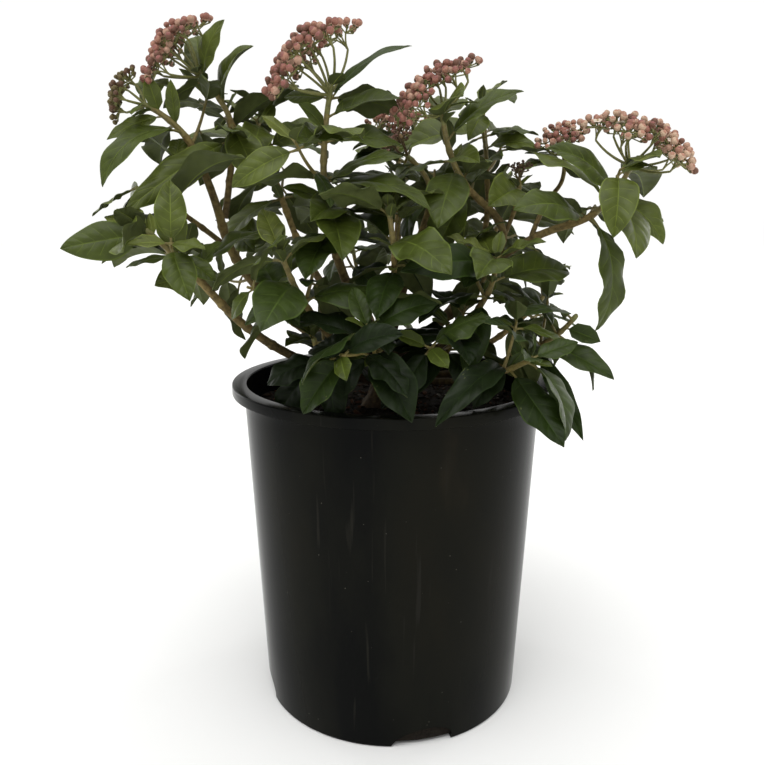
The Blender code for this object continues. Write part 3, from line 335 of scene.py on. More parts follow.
# Each head: its width, height and lean to the right and away in mm, its blobs, its buds' size against
# a full bud, the buds and forks in a cluster, its open flowers, and the finishes of its buds
Head = namedtuple("Head", "width height lean_x lean_y blobs size buds forks open_flowers finishes")
PINKS = ("bud_salmon", "bud_rose", "bud_rose", "bud_dusk", "bud_dusk", "bud_pale")
FADED = ("bud_salmon", "bud_rose", "bud_pale", "bud_cream", "bud_cream", "bud_dusk")
HEADS = {
    "young": Head(34, 10, -16, -4, 5, 0.66, 15, 5, 0, ("young_bud", "young_bud_brown")),
    "pink_left": Head(56, 23, -21, -5, 9, 0.95, 13, 4, 0, PINKS),
    "pink_centre": Head(68, 30, -22, -4, 9, 1.0, 14, 4, 0, PINKS),
    "pink_inner": Head(62, 21, -13, -4, 9, 0.95, 12, 4, 0, PINKS),
    "pink_right": Head(76, 30, 10, -3, 11, 0.98, 12, 4, 7, FADED),
    "pink_side": Head(38, 22, 0, -4, 5, 0.92, 11, 4, 3, FADED),
    "spent": Head(18, 14, 2, 0, 3, 0.36, 9, 5, 0, ("spent_brown",)),
    "tan": Head(24, 18, -8, 4, 3, 0.55, 11, 4, 0, ("spent_tan", "young_bud_brown", "bud_dusk")),
    "pink_back": Head(54, 26, 6, 6, 7, 0.96, 12, 4, 2, PINKS),
    "pink_far": Head(52, 26, 0, 8, 7, 0.96, 12, 4, 0, PINKS),
}

# Young leaves at a shoot's end: each pair's length against the mass's leaves, and its lift in degrees
TIP_PAIRS = ((0.52, 42), (0.30, 60))
TWIG_TIP_PAIRS = ((0.42, 45),)
HEAD_TIP_PAIRS = ((0.36, 20),)
AXIL_SHARE = 0.27
AXIL_LIFT = 50
AXIL_STEP = 0.035
AXIL_TURN = 45
AXIL_AGE = 0.3
TIP_DROOP = 22

# The fine leaf: petiole, outline, veins and relief
BLADE_START = 0.13
PETIOLE_SHARES = (0.0, 0.045, 0.095)
PETIOLE_RADII = (1.05 * MM, 0.78 * MM, 0.66 * MM)
NECK = 0.75 * MM
FINE_ACROSS = (0.035, 0.24, 0.48, 0.72, 0.93, 1.0)
FINE_VEINS = 6
FINE_ROWS = 3
SMALL_ACROSS = (0.06, 0.48, 0.92, 1.0)
SMALL_VEINS = 4
SMALL_ROWS = 1
SMALL_LEAF = 24 * MM
FULL_HALF = 10 * MM
VEIN_REACH = 0.8
FIRST_VEIN = 0.1
LAST_VEIN = 0.84
VEIN_HALF = 0.004
EDGE_START = 0.9
END_ROWS = 4
VEIN_SLANT = 0.8
OUTLINE_BASE = 0.78
OUTLINE_TIP = 1.0
BLADE_THICK = 0.34 * MM
RIB_THICK = 0.55 * MM
THINNEST = 0.45
MIDRIB_SINK = 0.16 * MM
QUILT = 0.6 * MM

# How one leaf differs from the next, as ranges
FOLDS = (0.12, 0.6)
CUPS = (0.1, 0.5)
WAVES = (0.03, 0.11)
WAVE_COUNTS = (1.4, 3.0)
TWISTS = (-14, 14)
SABRES = (-0.03, 0.03)
YOUNG_FOLDS = (0.3, 0.6)

# How dark a leaf is: painted shade by how far inside the crown and how low it is, a darker tone by how old
# it is, and by chance
PAINTED_SHADES = ("leaf_light", "leaf_mid", "leaf_dark", "leaf_deep", "leaf_black")
SHADE_SPINE = 0.6
SHADE_HALF = 95 * MM
SHADE_START = 208 * MM
SHADE_RANGE = 100 * MM
PAINTED_SHADE_INSIDE = 0.25
PAINTED_SHADE_LOW = 1.3
SHADE_AGE = 0.3
SHADE_CHANCE = 0.18
SHADE_STEPS = 4.2
# Young leaves below this height take darker tints, as painted shade
PAINTED_SHADE_YOUNG_BELOW = MIX_TOP + 75 * MM

# The leaves' pieces: those whose shoot ends behind BACK_START, and the others from left to right
LEAF_GROUPS = ("leaves_left", "leaves_middle", "leaves_right", "leaves_back")
BACK_START = 20 * MM
SIDE_START = 45 * MM

# Shoots and bark
LIMB_SIDES = 12
TWIG_BARK_SIDES = 8
BARK_SIDES = 44
LIMB_STEP = 1.7 * MM
STALK_STEP = 1.6 * MM
TRUNK_STEP = 1.0 * MM
SINK = 2 * MM
FOOT_NARROW = 0.9
TIP_NARROW = 0.55
TIP_ROUND = 0.5
BOUGH_NODES = (17 * MM, 26 * MM)
NODE_SWELL = 0.24
NODE_REACH = 1.5 * MM
BARK_TINTS = 5
TINT_SPREAD = 0.5
BARK_LONG = 60
BARK_SHORT = 420
BARK_FINER = 2.3
BARK_SEED_STEP = 7.3
TRUNK_SEED = 5
TRUNK_SHRINK = 0.97
TRUNK_END = 0.35
TRUNK_END_NARROW = 0.8
# How many ridges the bark has round a limb, and how deep they are
TRUNK_BARK = (3.2, 0.13)
BOUGH_BARK = (2.0, 0.1)
STEM_BARK = (1.6, 0.07)
BROWN_UNTIL = 0.3
OLIVE_UNTIL = 0.8

# Clusters: how the ray, its forks and the stalks of the buds run, as shares of the blob's radius
RAY_BARK_SIDES = 8
FORK_SIDES = 6
STALK_SIDES = 5
RAY_RADII = (0.85 * MM, 0.6 * MM)
FORK_RADII = (0.52 * MM, 0.42 * MM)
STALK_RADII = (0.36 * MM, 0.42 * MM)
CLUSTER_OUT = 0.25
CLUSTER_DROP = 0.85
RAY_BEND = 0.6
RAY_RISE = 0.2
FORK_RISE = 0.3
FORK_OUT = 0.42
FORK_DROP = 0.25
FORK_OPENING = math.radians(62)
CLUSTER_OPENING = math.radians(82)
WAY_SPREAD = 0.2
STALK_SINK = 0.3
BUD_DROP = 0.62
BUD_RISE = 0.7
BUD_LEAN = 0.18
BUD_SIZES = (0.82, 1.12)

# A bud: its outline, as shares of its length and radius, and where its colours change
BUD_LENGTH = 5.1 * MM
BUD_RADIUS = 2.0 * MM
BUD_SIDES = 10
BUD_PROFILE = (
    (0.0, 0.2), (0.07, 0.42), (0.2, 0.5), (0.25, 0.5), (0.34, 0.74),
    (0.48, 0.95), (0.62, 1.0), (0.76, 0.92), (0.88, 0.68), (0.96, 0.36),
)
BUD_LOBES = 0.11
CALYX_END = 0.22
PALE_END = 0.4
TIP_START = 0.86

# An open flower; its rises and drops are in mm
PETALS = 5
PETAL_LENGTH = 2.7 * MM
PETAL_WIDTH = 2.4 * MM
PETAL_THICK = 0.3 * MM
PETAL_SIDES = 8
PETAL_PROFILE = ((0.05, 0.35), (0.25, 0.7), (0.5, 0.98), (0.75, 0.95), (0.92, 0.6))
PETAL_RISE = 0.9
PETAL_CURVE = 1.6
PETAL_FALL = 0.5
PETAL_TIP_RISE = 0.35
FLOWER_RISE = 2.2
EYE_DROP = 0.4
EYE_SIZE = 0.3
CUP_SIZE = 0.55

# Colours
# One leaf green in lighter and darker copies: painted light on high, outer leaves and painted shade on low,
# inner ones. leaf_young is the young leaves' own yellower green
LEAF_TINTS = {
    "leaf_black": (0.0075, 0.0135, 0.0035),
    "leaf_deep": (0.014, 0.025, 0.004),
    "leaf_dark": (0.027, 0.043, 0.006),
    "leaf_mid": (0.046, 0.063, 0.008),
    "leaf_light": (0.068, 0.087, 0.013),
    "leaf_young": (0.100, 0.120, 0.022),
}
VEIN_LIGHTER = 1.7
SMOOTHER = 0.07
ROUGHER = 0.1
UNDERSIDE = (0.070, 0.085, 0.026)
PETIOLE = (0.150, 0.128, 0.036)
BARK_ENDS = ((0.062, 0.041, 0.023), (0.175, 0.128, 0.045))
YOUNG_BARK = (0.175, 0.140, 0.042)
RAY_GREEN = (0.165, 0.165, 0.050)
BLOSSOM = {
    "bud_cream": ((0.53, 0.37, 0.26), 0.6),
    "bud_pale": ((0.46, 0.28, 0.20), 0.6),
    "bud_salmon": ((0.38, 0.190, 0.132), 0.55),
    "bud_rose": ((0.29, 0.125, 0.090), 0.55),
    "bud_dusk": ((0.16, 0.078, 0.052), 0.6),
    "bud_tip": ((0.24, 0.090, 0.075), 0.55),
    "calyx_green": ((0.095, 0.085, 0.034), 0.65),
    "petal_white": ((0.62, 0.53, 0.44), 0.65),
    "flower_eye": ((0.40, 0.34, 0.16), 0.65),
    "young_bud": ((0.115, 0.088, 0.034), 0.65),
    "young_bud_brown": ((0.105, 0.056, 0.032), 0.65),
    "spent_brown": ((0.055, 0.028, 0.018), 0.8),
    "spent_tan": ((0.32, 0.21, 0.10), 0.7),
}
# Blacks dealt out over broad blotches: the brownish ones are dusty smears, the near-black bluish ones a
# painted dark reflection
POT_BLACKS_AND_DARK_REFLECTION = (
    (0.40, (0.0028, 0.0031, 0.0029)),
    (0.54, (0.0064, 0.0066, 0.0048)),
    (0.66, (0.0082, 0.0078, 0.0052)),
    (0.78, (0.0210, 0.0165, 0.0100)),
)
POT_SCRATCH = (0.0125, 0.0120, 0.0095)
POT_SPECK = (0.09, 0.085, 0.07)
# The mix and its chips: colour, roughness, scale and contrast of blotches, grain, depth and gloss
MIX_FINISHES = {
    "mix_dark": ((0.011, 0.0085, 0.006), 0.95, 700, 0.6, 1400, 0.6 * MM, 0.15),
    "chip_dark": ((0.013, 0.010, 0.007), 0.9, 900, 0.5, 1700, 0.3 * MM, 0.15),
    "chip_brown": ((0.032, 0.020, 0.012), 0.9, 900, 0.45, 1700, 0.3 * MM, 0.2),
    "chip_red": ((0.060, 0.026, 0.014), 0.9, 900, 0.4, 1700, 0.3 * MM, 0.2),
    "chip_grey": ((0.16, 0.15, 0.13), 0.9, 900, 0.3, 1700, 0.3 * MM, 0.2),
}
CHIP_SHARES = {"chip_dark": 10, "chip_brown": 6, "chip_red": 2, "chip_grey": 0.5}
FLOOR_WHITES = ((0.3, (0.86, 0.86, 0.855)), (0.7, (0.88, 0.88, 0.875)))

# The room's light by height, from the horizon at 0 to straight up at 1, the sun and the side lights
ROOM = ((0.0, 1.0), (0.24, 1.0), (0.36, 0.4), (0.58, 0.45), (0.82, 1.42))
ROOM_STRENGTH = 1.02
ROOM_WARMTH = 0.985
SUN_STRENGTH = 1.2
SUN_SPREAD = math.radians(50)
SUN_TILT = (math.radians(26), math.radians(-7), 0)
STRIP_POWER = 2.5
STRIP_SIZE = (0.3, 1.0)
STRIP_PLACES = {"left_strip": (-1.1, 0.85, 0.5), "right_strip": (1.1, 0.85, 0.5)}
STRIP_TARGET = Vector((0, 0, 0.25))
FLOOR_RADIUS = 6
FLOOR_SEGMENTS = 96
FLOOR_HEIGHT = -0.2 * MM

# The camera that took the photograph
IMAGE_PIXELS = 765
FOCAL_PIXELS = 785
SENSOR = 36
CAMERA_PLACE = (0, -0.488, 0.314)
CAMERA_DIP = math.radians(12.9)
CAMERA_TURN = math.atan(9.4 / FOCAL_PIXELS)
CAMERA_SHIFT = 0.5 / IMAGE_PIXELS


# Skins over rings of points

def bent(start, elbow, tip, steps):
    """Points of a smooth bend from start over elbow to tip."""
    shares = [k / steps for k in range(steps + 1)]
    return [start * (1 - t) ** 2 + elbow * 2 * t * (1 - t) + tip * t ** 2 for t in shares]


def tapered(first, last, count):
    return [first + (last - first) * k / (count - 1) for k in range(count)]


def direction_at(path, k):
    return (path[min(k + 1, len(path) - 1)] - path[max(k - 1, 0)]).normalized()


def across_of(direction, reference=RIGHT):
    """A unit vector square to direction and as near reference as it can be."""
    flat = reference - direction * reference.dot(direction)
    if flat.length < LEAST_SINE:
        flat = UP - direction * UP.dot(direction)
    return flat.normalized()


def spun(across, axis, angle):
    """The vector across, turned about the axis that it is square to."""
    return across * math.cos(angle) + axis.cross(across) * math.sin(angle)


def angles(count):
    return [2 * math.pi * n / count for n in range(count)]


def all_points(rings, tip=None):
    """The points of all rings in one list, and the tip after them if there is one."""
    return [point for ring in rings for point in ring] + ([] if tip is None else [tip])


@functools.lru_cache(maxsize=None)
def loft_faces(rings, sides, pointed):
    """Corners of the faces of a closed skin over rings of points; it ends flat or in a point."""
    faces = []
    for r in range(rings - 1):
        for s in range(sides):
            t = (s + 1) % sides
            faces.append((r * sides + s, r * sides + t, (r + 1) * sides + t, (r + 1) * sides + s))
    faces.append(tuple(range(sides))[::-1])
    last = (rings - 1) * sides
    if pointed:
        faces += [(last + s, last + (s + 1) % sides, last + sides) for s in range(sides)]
    else:
        faces.append(tuple(range(last, last + sides)))
    return faces


def skin(bm, rings, tip=None):
    """Adds a closed skin over rings of points to bm."""
    verts = [bm.verts.new(point) for point in all_points(rings, tip)]
    for face in loft_faces(len(rings), len(rings[0]), tip is not None):
        bm.faces.new([verts[k] for k in face])
    return bm


def turned(bm, profile, steps):
    """Spins a profile of radius and height round the Z axis."""
    verts = [bm.verts.new((radius, 0, height)) for radius, height in profile]
    edges = [bm.edges.new(pair) for pair in zip(verts, verts[1:])]
    bmesh.ops.spin(bm, geom=verts + edges, cent=(0, 0, 0), axis=UP, angle=2 * math.pi, steps=steps)
    bmesh.ops.remove_doubles(bm, verts=bm.verts, dist=0.001 * MM)
    return bm


def limb_rings(path, radii, sides, relief=None):
    """Rings of points round a path; relief gives a factor for each place along and angle."""
    rings = []
    side = across_of(direction_at(path, 0))
    run = 0.0
    for k, (centre, radius) in enumerate(zip(path, radii)):
        along = direction_at(path, k)
        side = across_of(along, side)
        run += (centre - path[max(k - 1, 0)]).length
        ring = []
        for angle in angles(sides):
            reach = radius * (relief(run, angle) if relief else 1)
            ring.append(centre + spun(side, along, angle) * reach)
        rings.append(ring)
    return rings


def tube(bm, path, radii, sides):
    """A coarse tapering limb along path, for testing room."""
    return skin(bm, limb_rings(path, radii, sides))


def shell(build, *args, **kwargs):
    """A small search tree of the surface that build makes, with its middle and its reach."""
    bm = build(bmesh.new(), *args, **kwargs)
    points = [vert.co.copy() for vert in bm.verts]
    middle = sum(points, Vector()) / len(points)
    reach = max((point - middle).length for point in points)
    tree = BVHTree.FromBMesh(bm)
    bm.free()
    return Shell(tree, middle, reach)


def limb_shell(limb):
    return shell(tube, limb.path, limb.radii, limb.sides)


def touches(piece, others):
    for other in others:
        near = (piece.middle - other.middle).length <= piece.reach + other.reach
        if near and piece.tree.overlap(other.tree):
            return True
    return False


# Growth, by the source's rule

def along_path(limb, share):
    """The point, direction and radius at a share of a limb's length."""
    place = share * (len(limb.path) - 1)
    k = min(int(place), len(limb.path) - 2)
    low, high = limb.path[k], limb.path[k + 1]
    rest = place - k
    radius = limb.radii[k] + (limb.radii[k + 1] - limb.radii[k]) * rest
    return low.lerp(high, rest), (high - low).normalized(), radius


def trimmed(path, cut):
    """The path without its first stretch of the given length."""
    points = list(path)
    while len(points) > 2 and (points[1] - points[0]).length < cut:
        cut -= (points[1] - points[0]).length
        points.pop(0)
    first = points[0] + (points[1] - points[0]).normalized() * cut
    return [first] + points[1:]


def carried_on(carrier, tip, steps):
    """A path that goes on in line from a limb's end, a gap beyond it, and bends over to tip."""
    along = direction_at(carrier.path, len(carrier.path) - 1)
    start = carrier.path[-1] + along * GAP
    straight = start + along * LEAD
    elbow = straight + along * (tip - straight).length * ELBOW_SHARE
    return [start] + bent(straight, elbow, tip, steps)


def grow_trunk():
    elbow = (TRUNK_FOOT + TRUNK_FORK) / 2
    elbow.x = TRUNK_FOOT.x
    path = bent(TRUNK_FOOT, elbow, TRUNK_FORK, TRUNK_RINGS - 1)
    radii = []
    for k in range(TRUNK_RINGS):
        t = k / (TRUNK_RINGS - 1)
        flare = TRUNK_FLARE * max(0.0, 1 - t / TRUNK_FLARE_HEIGHT) ** 2
        radii.append(TRUNK_FORK_RADIUS * (1 + TRUNK_TAPER * (1 - t)) + flare)
    return Limb(path, radii, TRUNK_SIDES)


def seated(path, base_radius, tip_radius, limbs):
    """A side limb's path with its foot cut back until it is a gap clear of the limbs so far."""
    others = [limb_shell(limb) for limb in limbs.values()]
    touching, clear = 0.0, LONGEST_CUT
    for _ in range(CUTS_TRIED):
        cut = (touching + clear) / 2
        rest = trimmed(path, cut)
        radii = tapered(base_radius + GAP, tip_radius + GAP, len(rest))
        if touches(shell(tube, rest, radii, BOUGH_SIDES), others):
            touching = cut
        else:
            clear = cut
    return trimmed(path, clear + GAP)


def grow_boughs(limbs):
    """Works out every bough's centre line and radii, and keeps them in limbs by name."""
    for row in BOUGHS:
        carrier = limbs[row.parent]
        tip = Vector(row.tip) * MM
        if row.elbow is None:
            path = carried_on(carrier, tip, BOUGH_STEPS)
        else:
            start, _, _ = along_path(carrier, row.at)
            path = bent(start, Vector(row.elbow) * MM, tip, BOUGH_STEPS)
            path = seated(path, row.base_radius * MM, row.tip_radius * MM, limbs)
        radii = tapered(row.base_radius * MM, row.tip_radius * MM, len(path))
        limbs[row.name] = Limb(path, radii, BOUGH_SIDES)


def head_blobs(head, stem, rng):
    """Middles, radii and axes of the clusters of buds that make a flower head's dome."""
    tip = stem.path[-1]
    top = tip + Vector((head.lean_x, head.lean_y, head.height * HEAD_STALK)) * MM
    axis = (top - tip).normalized()
    across = across_of(axis)
    blobs = []
    radius = head.width * BLOB_SPREAD / math.sqrt(head.blobs) * MM
    for k in range(head.blobs):
        share = math.sqrt((k + 0.5) / head.blobs)
        angle = k * GOLDEN_ANGLE + rng.uniform(-BLOB_TURN_SPREAD, BLOB_TURN_SPREAD)
        out = share * (head.width / 2 * MM - radius)
        drop = head.height * HEAD_DOME * MM * share ** 2
        middle = top + spun(across, axis, angle) * out - axis * (drop + radius * BLOB_SQUASH)
        blobs.append((middle, radius * rng.uniform(*BLOB_SIZES), axis))
    return blobs


def head_ray(stem, blob):
    """The thin stalk that carries one cluster of buds."""
    tip = stem.path[-1]
    inside = stem.path[-2].lerp(tip, RAY_START)
    path = bent(inside, tip.lerp(blob[0], RAY_ELBOW), blob[0], 2)
    return Limb(path, [RAY_RADIUS] * len(path), RAY_SIDES)


def blob_mesh(bm, middle, radius, axis):
    turn = axis.to_track_quat("Z", "Y").to_matrix().to_4x4()
    place = Matrix.Translation(middle) @ turn @ Matrix.Diagonal((1, 1, BLOB_SQUASH, 1))
    bmesh.ops.create_icosphere(bm, subdivisions=1, radius=radius, matrix=place)
    return bm


def pot_outside(bm):
    """The pot's outside with the mix's top, as one simple closed shape."""
    inner = POT_TOP_RADIUS - POT_WALL
    top = MIX_TOP + MIX_WAVE
    skirt = POT_HEIGHT - RIM_DROP
    profile = [(0, 0), (POT_BASE_RADIUS, 0), (RIM_RADIUS, skirt), (RIM_RADIUS, POT_HEIGHT)]
    profile += [(inner, POT_HEIGHT), (inner, top), (0, top)]
    return turned(bm, profile, POT_TEST_SEGMENTS)


def leaf_frame(along, outward, lift, roll):
    """The way a leaf points and the way its upper face looks."""
    ahead = (outward * math.cos(lift) + along * math.sin(lift)).normalized()
    face = along * math.cos(lift) - outward * math.sin(lift)
    face = face * (1 - LEAF_FACE_UP) + UP * LEAF_FACE_UP
    face = (face - ahead * face.dot(ahead)).normalized()
    return ahead, Matrix.Rotation(roll, 3, ahead) @ face


def leaf_spine(leaf, share):
    """The point on a leaf's arched midrib, the way to its side and the way its face looks there."""
    bend = leaf.droop * share
    radius = leaf.length / leaf.droop
    point = leaf.root + (leaf.ahead * math.sin(bend) - leaf.face * (1 - math.cos(bend))) * radius
    return point, leaf.ahead.cross(leaf.face), leaf.face * math.cos(bend) + leaf.ahead * math.sin(bend)


def leaf_mesh(bm, leaf, spare=0.0, first=0.0):
    """The coarse blade; spare thickens it and first cuts it short."""
    rings = []
    for share, width in LEAF_STATIONS:
        point, side, face = leaf_spine(leaf, max(share, first))
        half = max(leaf.length * leaf.width * width / 2, LEAF_ROOT_WIDTH / 2) + spare
        rise = half * LEAF_FOLD + spare
        corners = (point + side * half + face * rise, point - side * half + face * rise)
        rings.append((*corners, point - face * (LEAF_KEEL + spare)))
    return skin(bm, rings, leaf_spine(leaf, 1.0)[0])


def in_opening(leaf):
    """Whether a leaf would cover a place where the crown is open from the front."""
    half = leaf.length * leaf.width / 2
    for share in OPENING_SHARES:
        point, side, _ = leaf_spine(leaf, share)
        for aside in (-half * (1 - share), 0, half * (1 - share)):
            ray = point + side * aside - EYE
            seen = EYE - ray * (EYE.y / ray.y)
            for x, z, radius in OPENINGS:
                if math.hypot(seen.x - x * MM, seen.z - z * MM) < radius * MM:
                    return True
    return False


def aimed_leaf(root, tip, width, droop, facing):
    """A leaf that grows from root and bends down to end at tip."""
    chord = tip - root
    way = chord.normalized()
    face = UP * (1 - facing) + FRONT * facing
    face = (face - way * face.dot(way)).normalized()
    half_bend = math.radians(droop) / 2
    back = Matrix.Rotation(half_bend, 3, way.cross(face))
    length = chord.length * half_bend / math.sin(half_bend)
    return Leaf(root, back @ way, back @ face, length, 2 * half_bend, width, FRONT_LEAF_AGE, False)


class Growth:
    """One mass as it grows: its stem and head, then twigs and leaves, and a shell of every part."""

    def __init__(self, seed, row, limbs):
        bough = limbs[row.name]
        path = carried_on(bough, Vector(row.tip) * MM, STEM_STEPS)
        self.row = row
        self.rng = random.Random(seed)
        self.stem = Limb(path, tapered(bough.radii[-1], STEM_TIP_RADIUS, len(path)), STEM_SIDES)
        self.blobs = head_blobs(HEADS[row.head], self.stem, self.rng) if row.head else []
        self.twigs, self.leaves = [], []
        self.shells = [limb_shell(self.stem)]
        for blob in self.blobs:
            self.shells += [shell(blob_mesh, *blob), limb_shell(head_ray(self.stem, blob))]

    def takes(self, leaf, others):
        """Adds a leaf that stays clear of other masses and limbs, and past its root of its own mass."""
        if touches(shell(leaf_mesh, leaf, spare=CLEARANCE), others):
            return False
        if touches(shell(leaf_mesh, leaf, spare=CLEARANCE, first=ROOT_SHARE), self.shells):
            return False
        self.leaves.append(leaf)
        self.shells.append(shell(leaf_mesh, leaf))
        return True


def grow_front_leaves(mass, others):
    """The single leaves named for this mass, each moved a little, or left out, if it would touch."""
    for at, tip, width, droop, facing in FRONT_LEAVES.get(mass.row.name, ()):
        root, _, _ = along_path(mass.stem, at)
        for nudge in NUDGES_TRIED:
            leaf = aimed_leaf(root, (Vector(tip) + Vector(nudge)) * MM, width, droop, facing)
            if mass.takes(leaf, others):
                break


def grow_twigs(mass, others):
    """Side twigs that leave the stem between its lower pairs of leaves."""
    rng = mass.rng
    for n in range(mass.row.twigs):
        share = FIRST_TWIG + TWIG_SPACING * n + rng.uniform(-TWIG_SHIFT, TWIG_SHIFT)
        root, along, _ = along_path(mass.stem, share)
        spread = rng.uniform(-TWIG_TURN_SPREAD, TWIG_TURN_SPREAD)
        angle = math.radians(mass.row.turn + TWIG_TURN + 180 * n + spread)
        outward = spun(across_of(along), along, angle)
        length = rng.uniform(*TWIG_LENGTHS)
        for turn in TURNS_TRIED:
            way = Matrix.Rotation(math.radians(turn), 3, along) @ outward
            start = way * TWIG_OUT + along * TWIG_ALONG
            tip = root + (start + UP * TWIG_UP).normalized() * length
            elbow = root + start.normalized() * length * TWIG_ELBOW
            path = bent(root, elbow, tip, TWIG_STEPS)
            twig = Limb(path, tapered(TWIG_RADIUS, TWIG_TIP_RADIUS, len(path)), TWIG_SIDES)
            spare = [radius + CLEARANCE for radius in twig.radii]
            if touches(shell(tube, path, spare, TWIG_SIDES), others):
                continue
            if touches(shell(tube, path[1:], spare[1:], TWIG_SIDES), mass.shells):
                continue
            mass.twigs.append(twig)
            mass.shells.append(limb_shell(twig))
            break


def grow_pair(mass, others, limb, share, turn, length, lift, droop=TIP_DROOP, age=0, young=True):
    """A pair of leaves, each turned and if need be shortened until it touches nothing, or left out."""
    rng = mass.rng
    root, along, radius = along_path(limb, share)
    across = across_of(along)
    sunk = 0.0 if young else radius * ROOT_OFFSET
    for half_turn in (0, 180):
        angle = math.radians(turn + half_turn + rng.uniform(-TURN_SPREAD, TURN_SPREAD))
        lean = math.radians(lift + rng.uniform(-LIFT_SPREAD, LIFT_SPREAD))
        roll = 0.0 if young else math.radians(rng.uniform(-ROLL_SPREAD, ROLL_SPREAD))
        sag = math.radians(droop * rng.uniform(*DROOP_RANGE))
        full = length * rng.uniform(*SIZE_RANGE)
        outward = spun(across, along, angle)
        start = root + outward * sunk
        for part, more in [(part, more) for part in LENGTHS_TRIED for more in TURNS_TRIED]:
            way = Matrix.Rotation(math.radians(more), 3, along) @ outward
            ahead, face = leaf_frame(along, way, lean, roll)
            leaf = Leaf(start, ahead, face, full * part, sag, LEAF_WIDTH_SHARE, age, young)
            if not in_opening(leaf) and mass.takes(leaf, others):
                break


def pair_share(k, pairs):
    return min((k + FIRST_PAIR) / pairs, LAST_PAIR)


def grow_leaves(mass, others):
    """Pairs of leaves, each a quarter turn on from the last: on the stem, then smaller on the twigs."""
    row = mass.row
    length = row.length * MM
    carriers = [(mass.stem, row.pairs, row.turn, length)]
    for n, twig in enumerate(mass.twigs):
        turn = row.turn + TWIG_LEAF_TURN + 90 * n
        carriers.append((twig, TWIG_PAIRS, turn, length * TWIG_LEAF_SHARE))
    for limb, pairs, turn, full in carriers:
        for k in range(pairs):
            share = pair_share(k, pairs)
            size = full * (END_LEAF_SIZE + (1 - END_LEAF_SIZE) * math.sin(math.pi * share))
            lift = LEAF_LIFTS[0] + (LEAF_LIFTS[1] - LEAF_LIFTS[0]) * share
            grow_pair(mass, others, limb, share, turn + 90 * k, size, lift, row.droop, 1 - share, False)


def grow_young_leaves(mass, others):
    """What the solids leave out: young leaves at the shoots' ends and small ones in the axils."""
    row, stem = mass.row, mass.stem
    length = row.length * MM
    for n, (size, lift) in enumerate(HEAD_TIP_PAIRS if row.head else TIP_PAIRS):
        grow_pair(mass, others, stem, 1.0, row.turn + 90 * (row.pairs + n), length * size, lift)
    for k in range(row.pairs):
        share = pair_share(k, row.pairs) - AXIL_STEP
        turn = row.turn + 90 * k + AXIL_TURN
        grow_pair(mass, others, stem, share, turn, length * AXIL_SHARE, AXIL_LIFT, age=AXIL_AGE)
    for n, twig in enumerate(mass.twigs):
        for size, lift in TWIG_TIP_PAIRS:
            turn = row.turn + TWIG_LEAF_TURN + 90 * n
            grow_pair(mass, others, twig, 1.0, turn, length * size, lift)


def grow_crown(limbs):
    """Everything that grows from the boughs: stems and heads, front leaves, twigs, then the rest."""
    in_the_way = [limb_shell(limb) for limb in limbs.values()] + [shell(pot_outside)]
    crown = {"foliage_" + row.name: Growth(seed, row, limbs) for seed, row in enumerate(MASSES)}
    for stage in (grow_front_leaves, grow_twigs, grow_leaves, grow_young_leaves):
        for mass in crown.values():
            others = list(in_the_way)
            for other in crown.values():
                if other is not mass:
                    others += other.shells
            stage(mass, others)
    return crown


# Gathering and finishing meshes

def linked(name, data):
    """A new object in the scene that holds data."""
    obj = bpy.data.objects.new(name, data)
    bpy.context.scene.collection.objects.link(obj)
    return obj


def placed(name, mesh, smooth_angle, slot, *nodes):
    """A piece that rides with the plant and stands for its nodes; slot is not used."""
    mesh.shade_smooth()
    mesh.set_sharp_from_angle(angle=math.radians(smooth_angle))
    mesh.validate()
    piece = linked(name, mesh)
    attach(piece, "root")
    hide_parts(*nodes)


class Gathered:
    """Points, faces and finishes that become one joined piece."""

    def __init__(self, materials):
        self.materials = list(materials)
        self.points, self.faces, self.finishes = [], [], []
        self.size = 0

    def add(self, points, faces, finishes):
        """Adds one closed shape; finishes names one material, or holds the name for each face."""
        points = np.asarray(points).reshape(-1, 3)
        self.points.append(points)
        self.faces += [[corner + self.size for corner in face] for face in faces]
        if isinstance(finishes, str):
            finishes = [finishes] * len(faces)
        self.finishes += [self.materials.index(name) for name in finishes]
        self.size += len(points)

    def add_rings(self, rings, finishes, tip=None):
        """Adds a closed skin over rings of points, which ends in the tip if there is one."""
        faces = loft_faces(len(rings), len(rings[0]), tip is not None)
        self.add(all_points(rings, tip), faces, finishes)

    def add_limb(self, path, radii, sides, finish, relief=None):
        """Adds a limb; finish is a name, or gives one for each share of the way along."""
        rings = limb_rings(path, radii, sides, relief)
        if callable(finish):
            names = []
            for r in range(len(rings) - 1):
                names += [finish(r / len(rings))] * sides
            finish = names + [names[0], names[-1]]
        self.add_rings(rings, finish)

    def place(self, name, smooth_angle, slot, *nodes):
        mesh = bpy.data.meshes.new(name)
        mesh.from_pydata(np.concatenate(self.points).tolist(), [], self.faces)
        for material in self.materials:
            mesh.materials.append(bpy.data.materials[material])
        mesh.polygons.foreach_set("material_index", self.finishes)
        placed(name, mesh, smooth_angle, slot, *nodes)


def smooth_limb(limb, step):
    """A limb's path and radii with points about step apart, on a smooth run through its own."""
    points, radii = limb.path, limb.radii
    ends = [points[0] * 2 - points[1]] + list(points) + [points[-1] * 2 - points[-2]]
    fine, sizes = [], []
    for k in range(len(points) - 1):
        before, first, last, after = ends[k:k + 4]
        count = max(1, round((last - first).length / step))
        for n in range(count):
            t = n / count
            bend = (2 * before - 5 * first + 4 * last - after) * t ** 2
            bend += (3 * first - before - 3 * last + after) * t ** 3
            fine.append((2 * first + (last - before) * t + bend) / 2)
            sizes.append(radii[k] + (radii[k + 1] - radii[k]) * t)
    return fine + [points[-1]], sizes + [radii[-1]]


def path_length(path):
    return sum((b - a).length for a, b in zip(path, path[1:]))


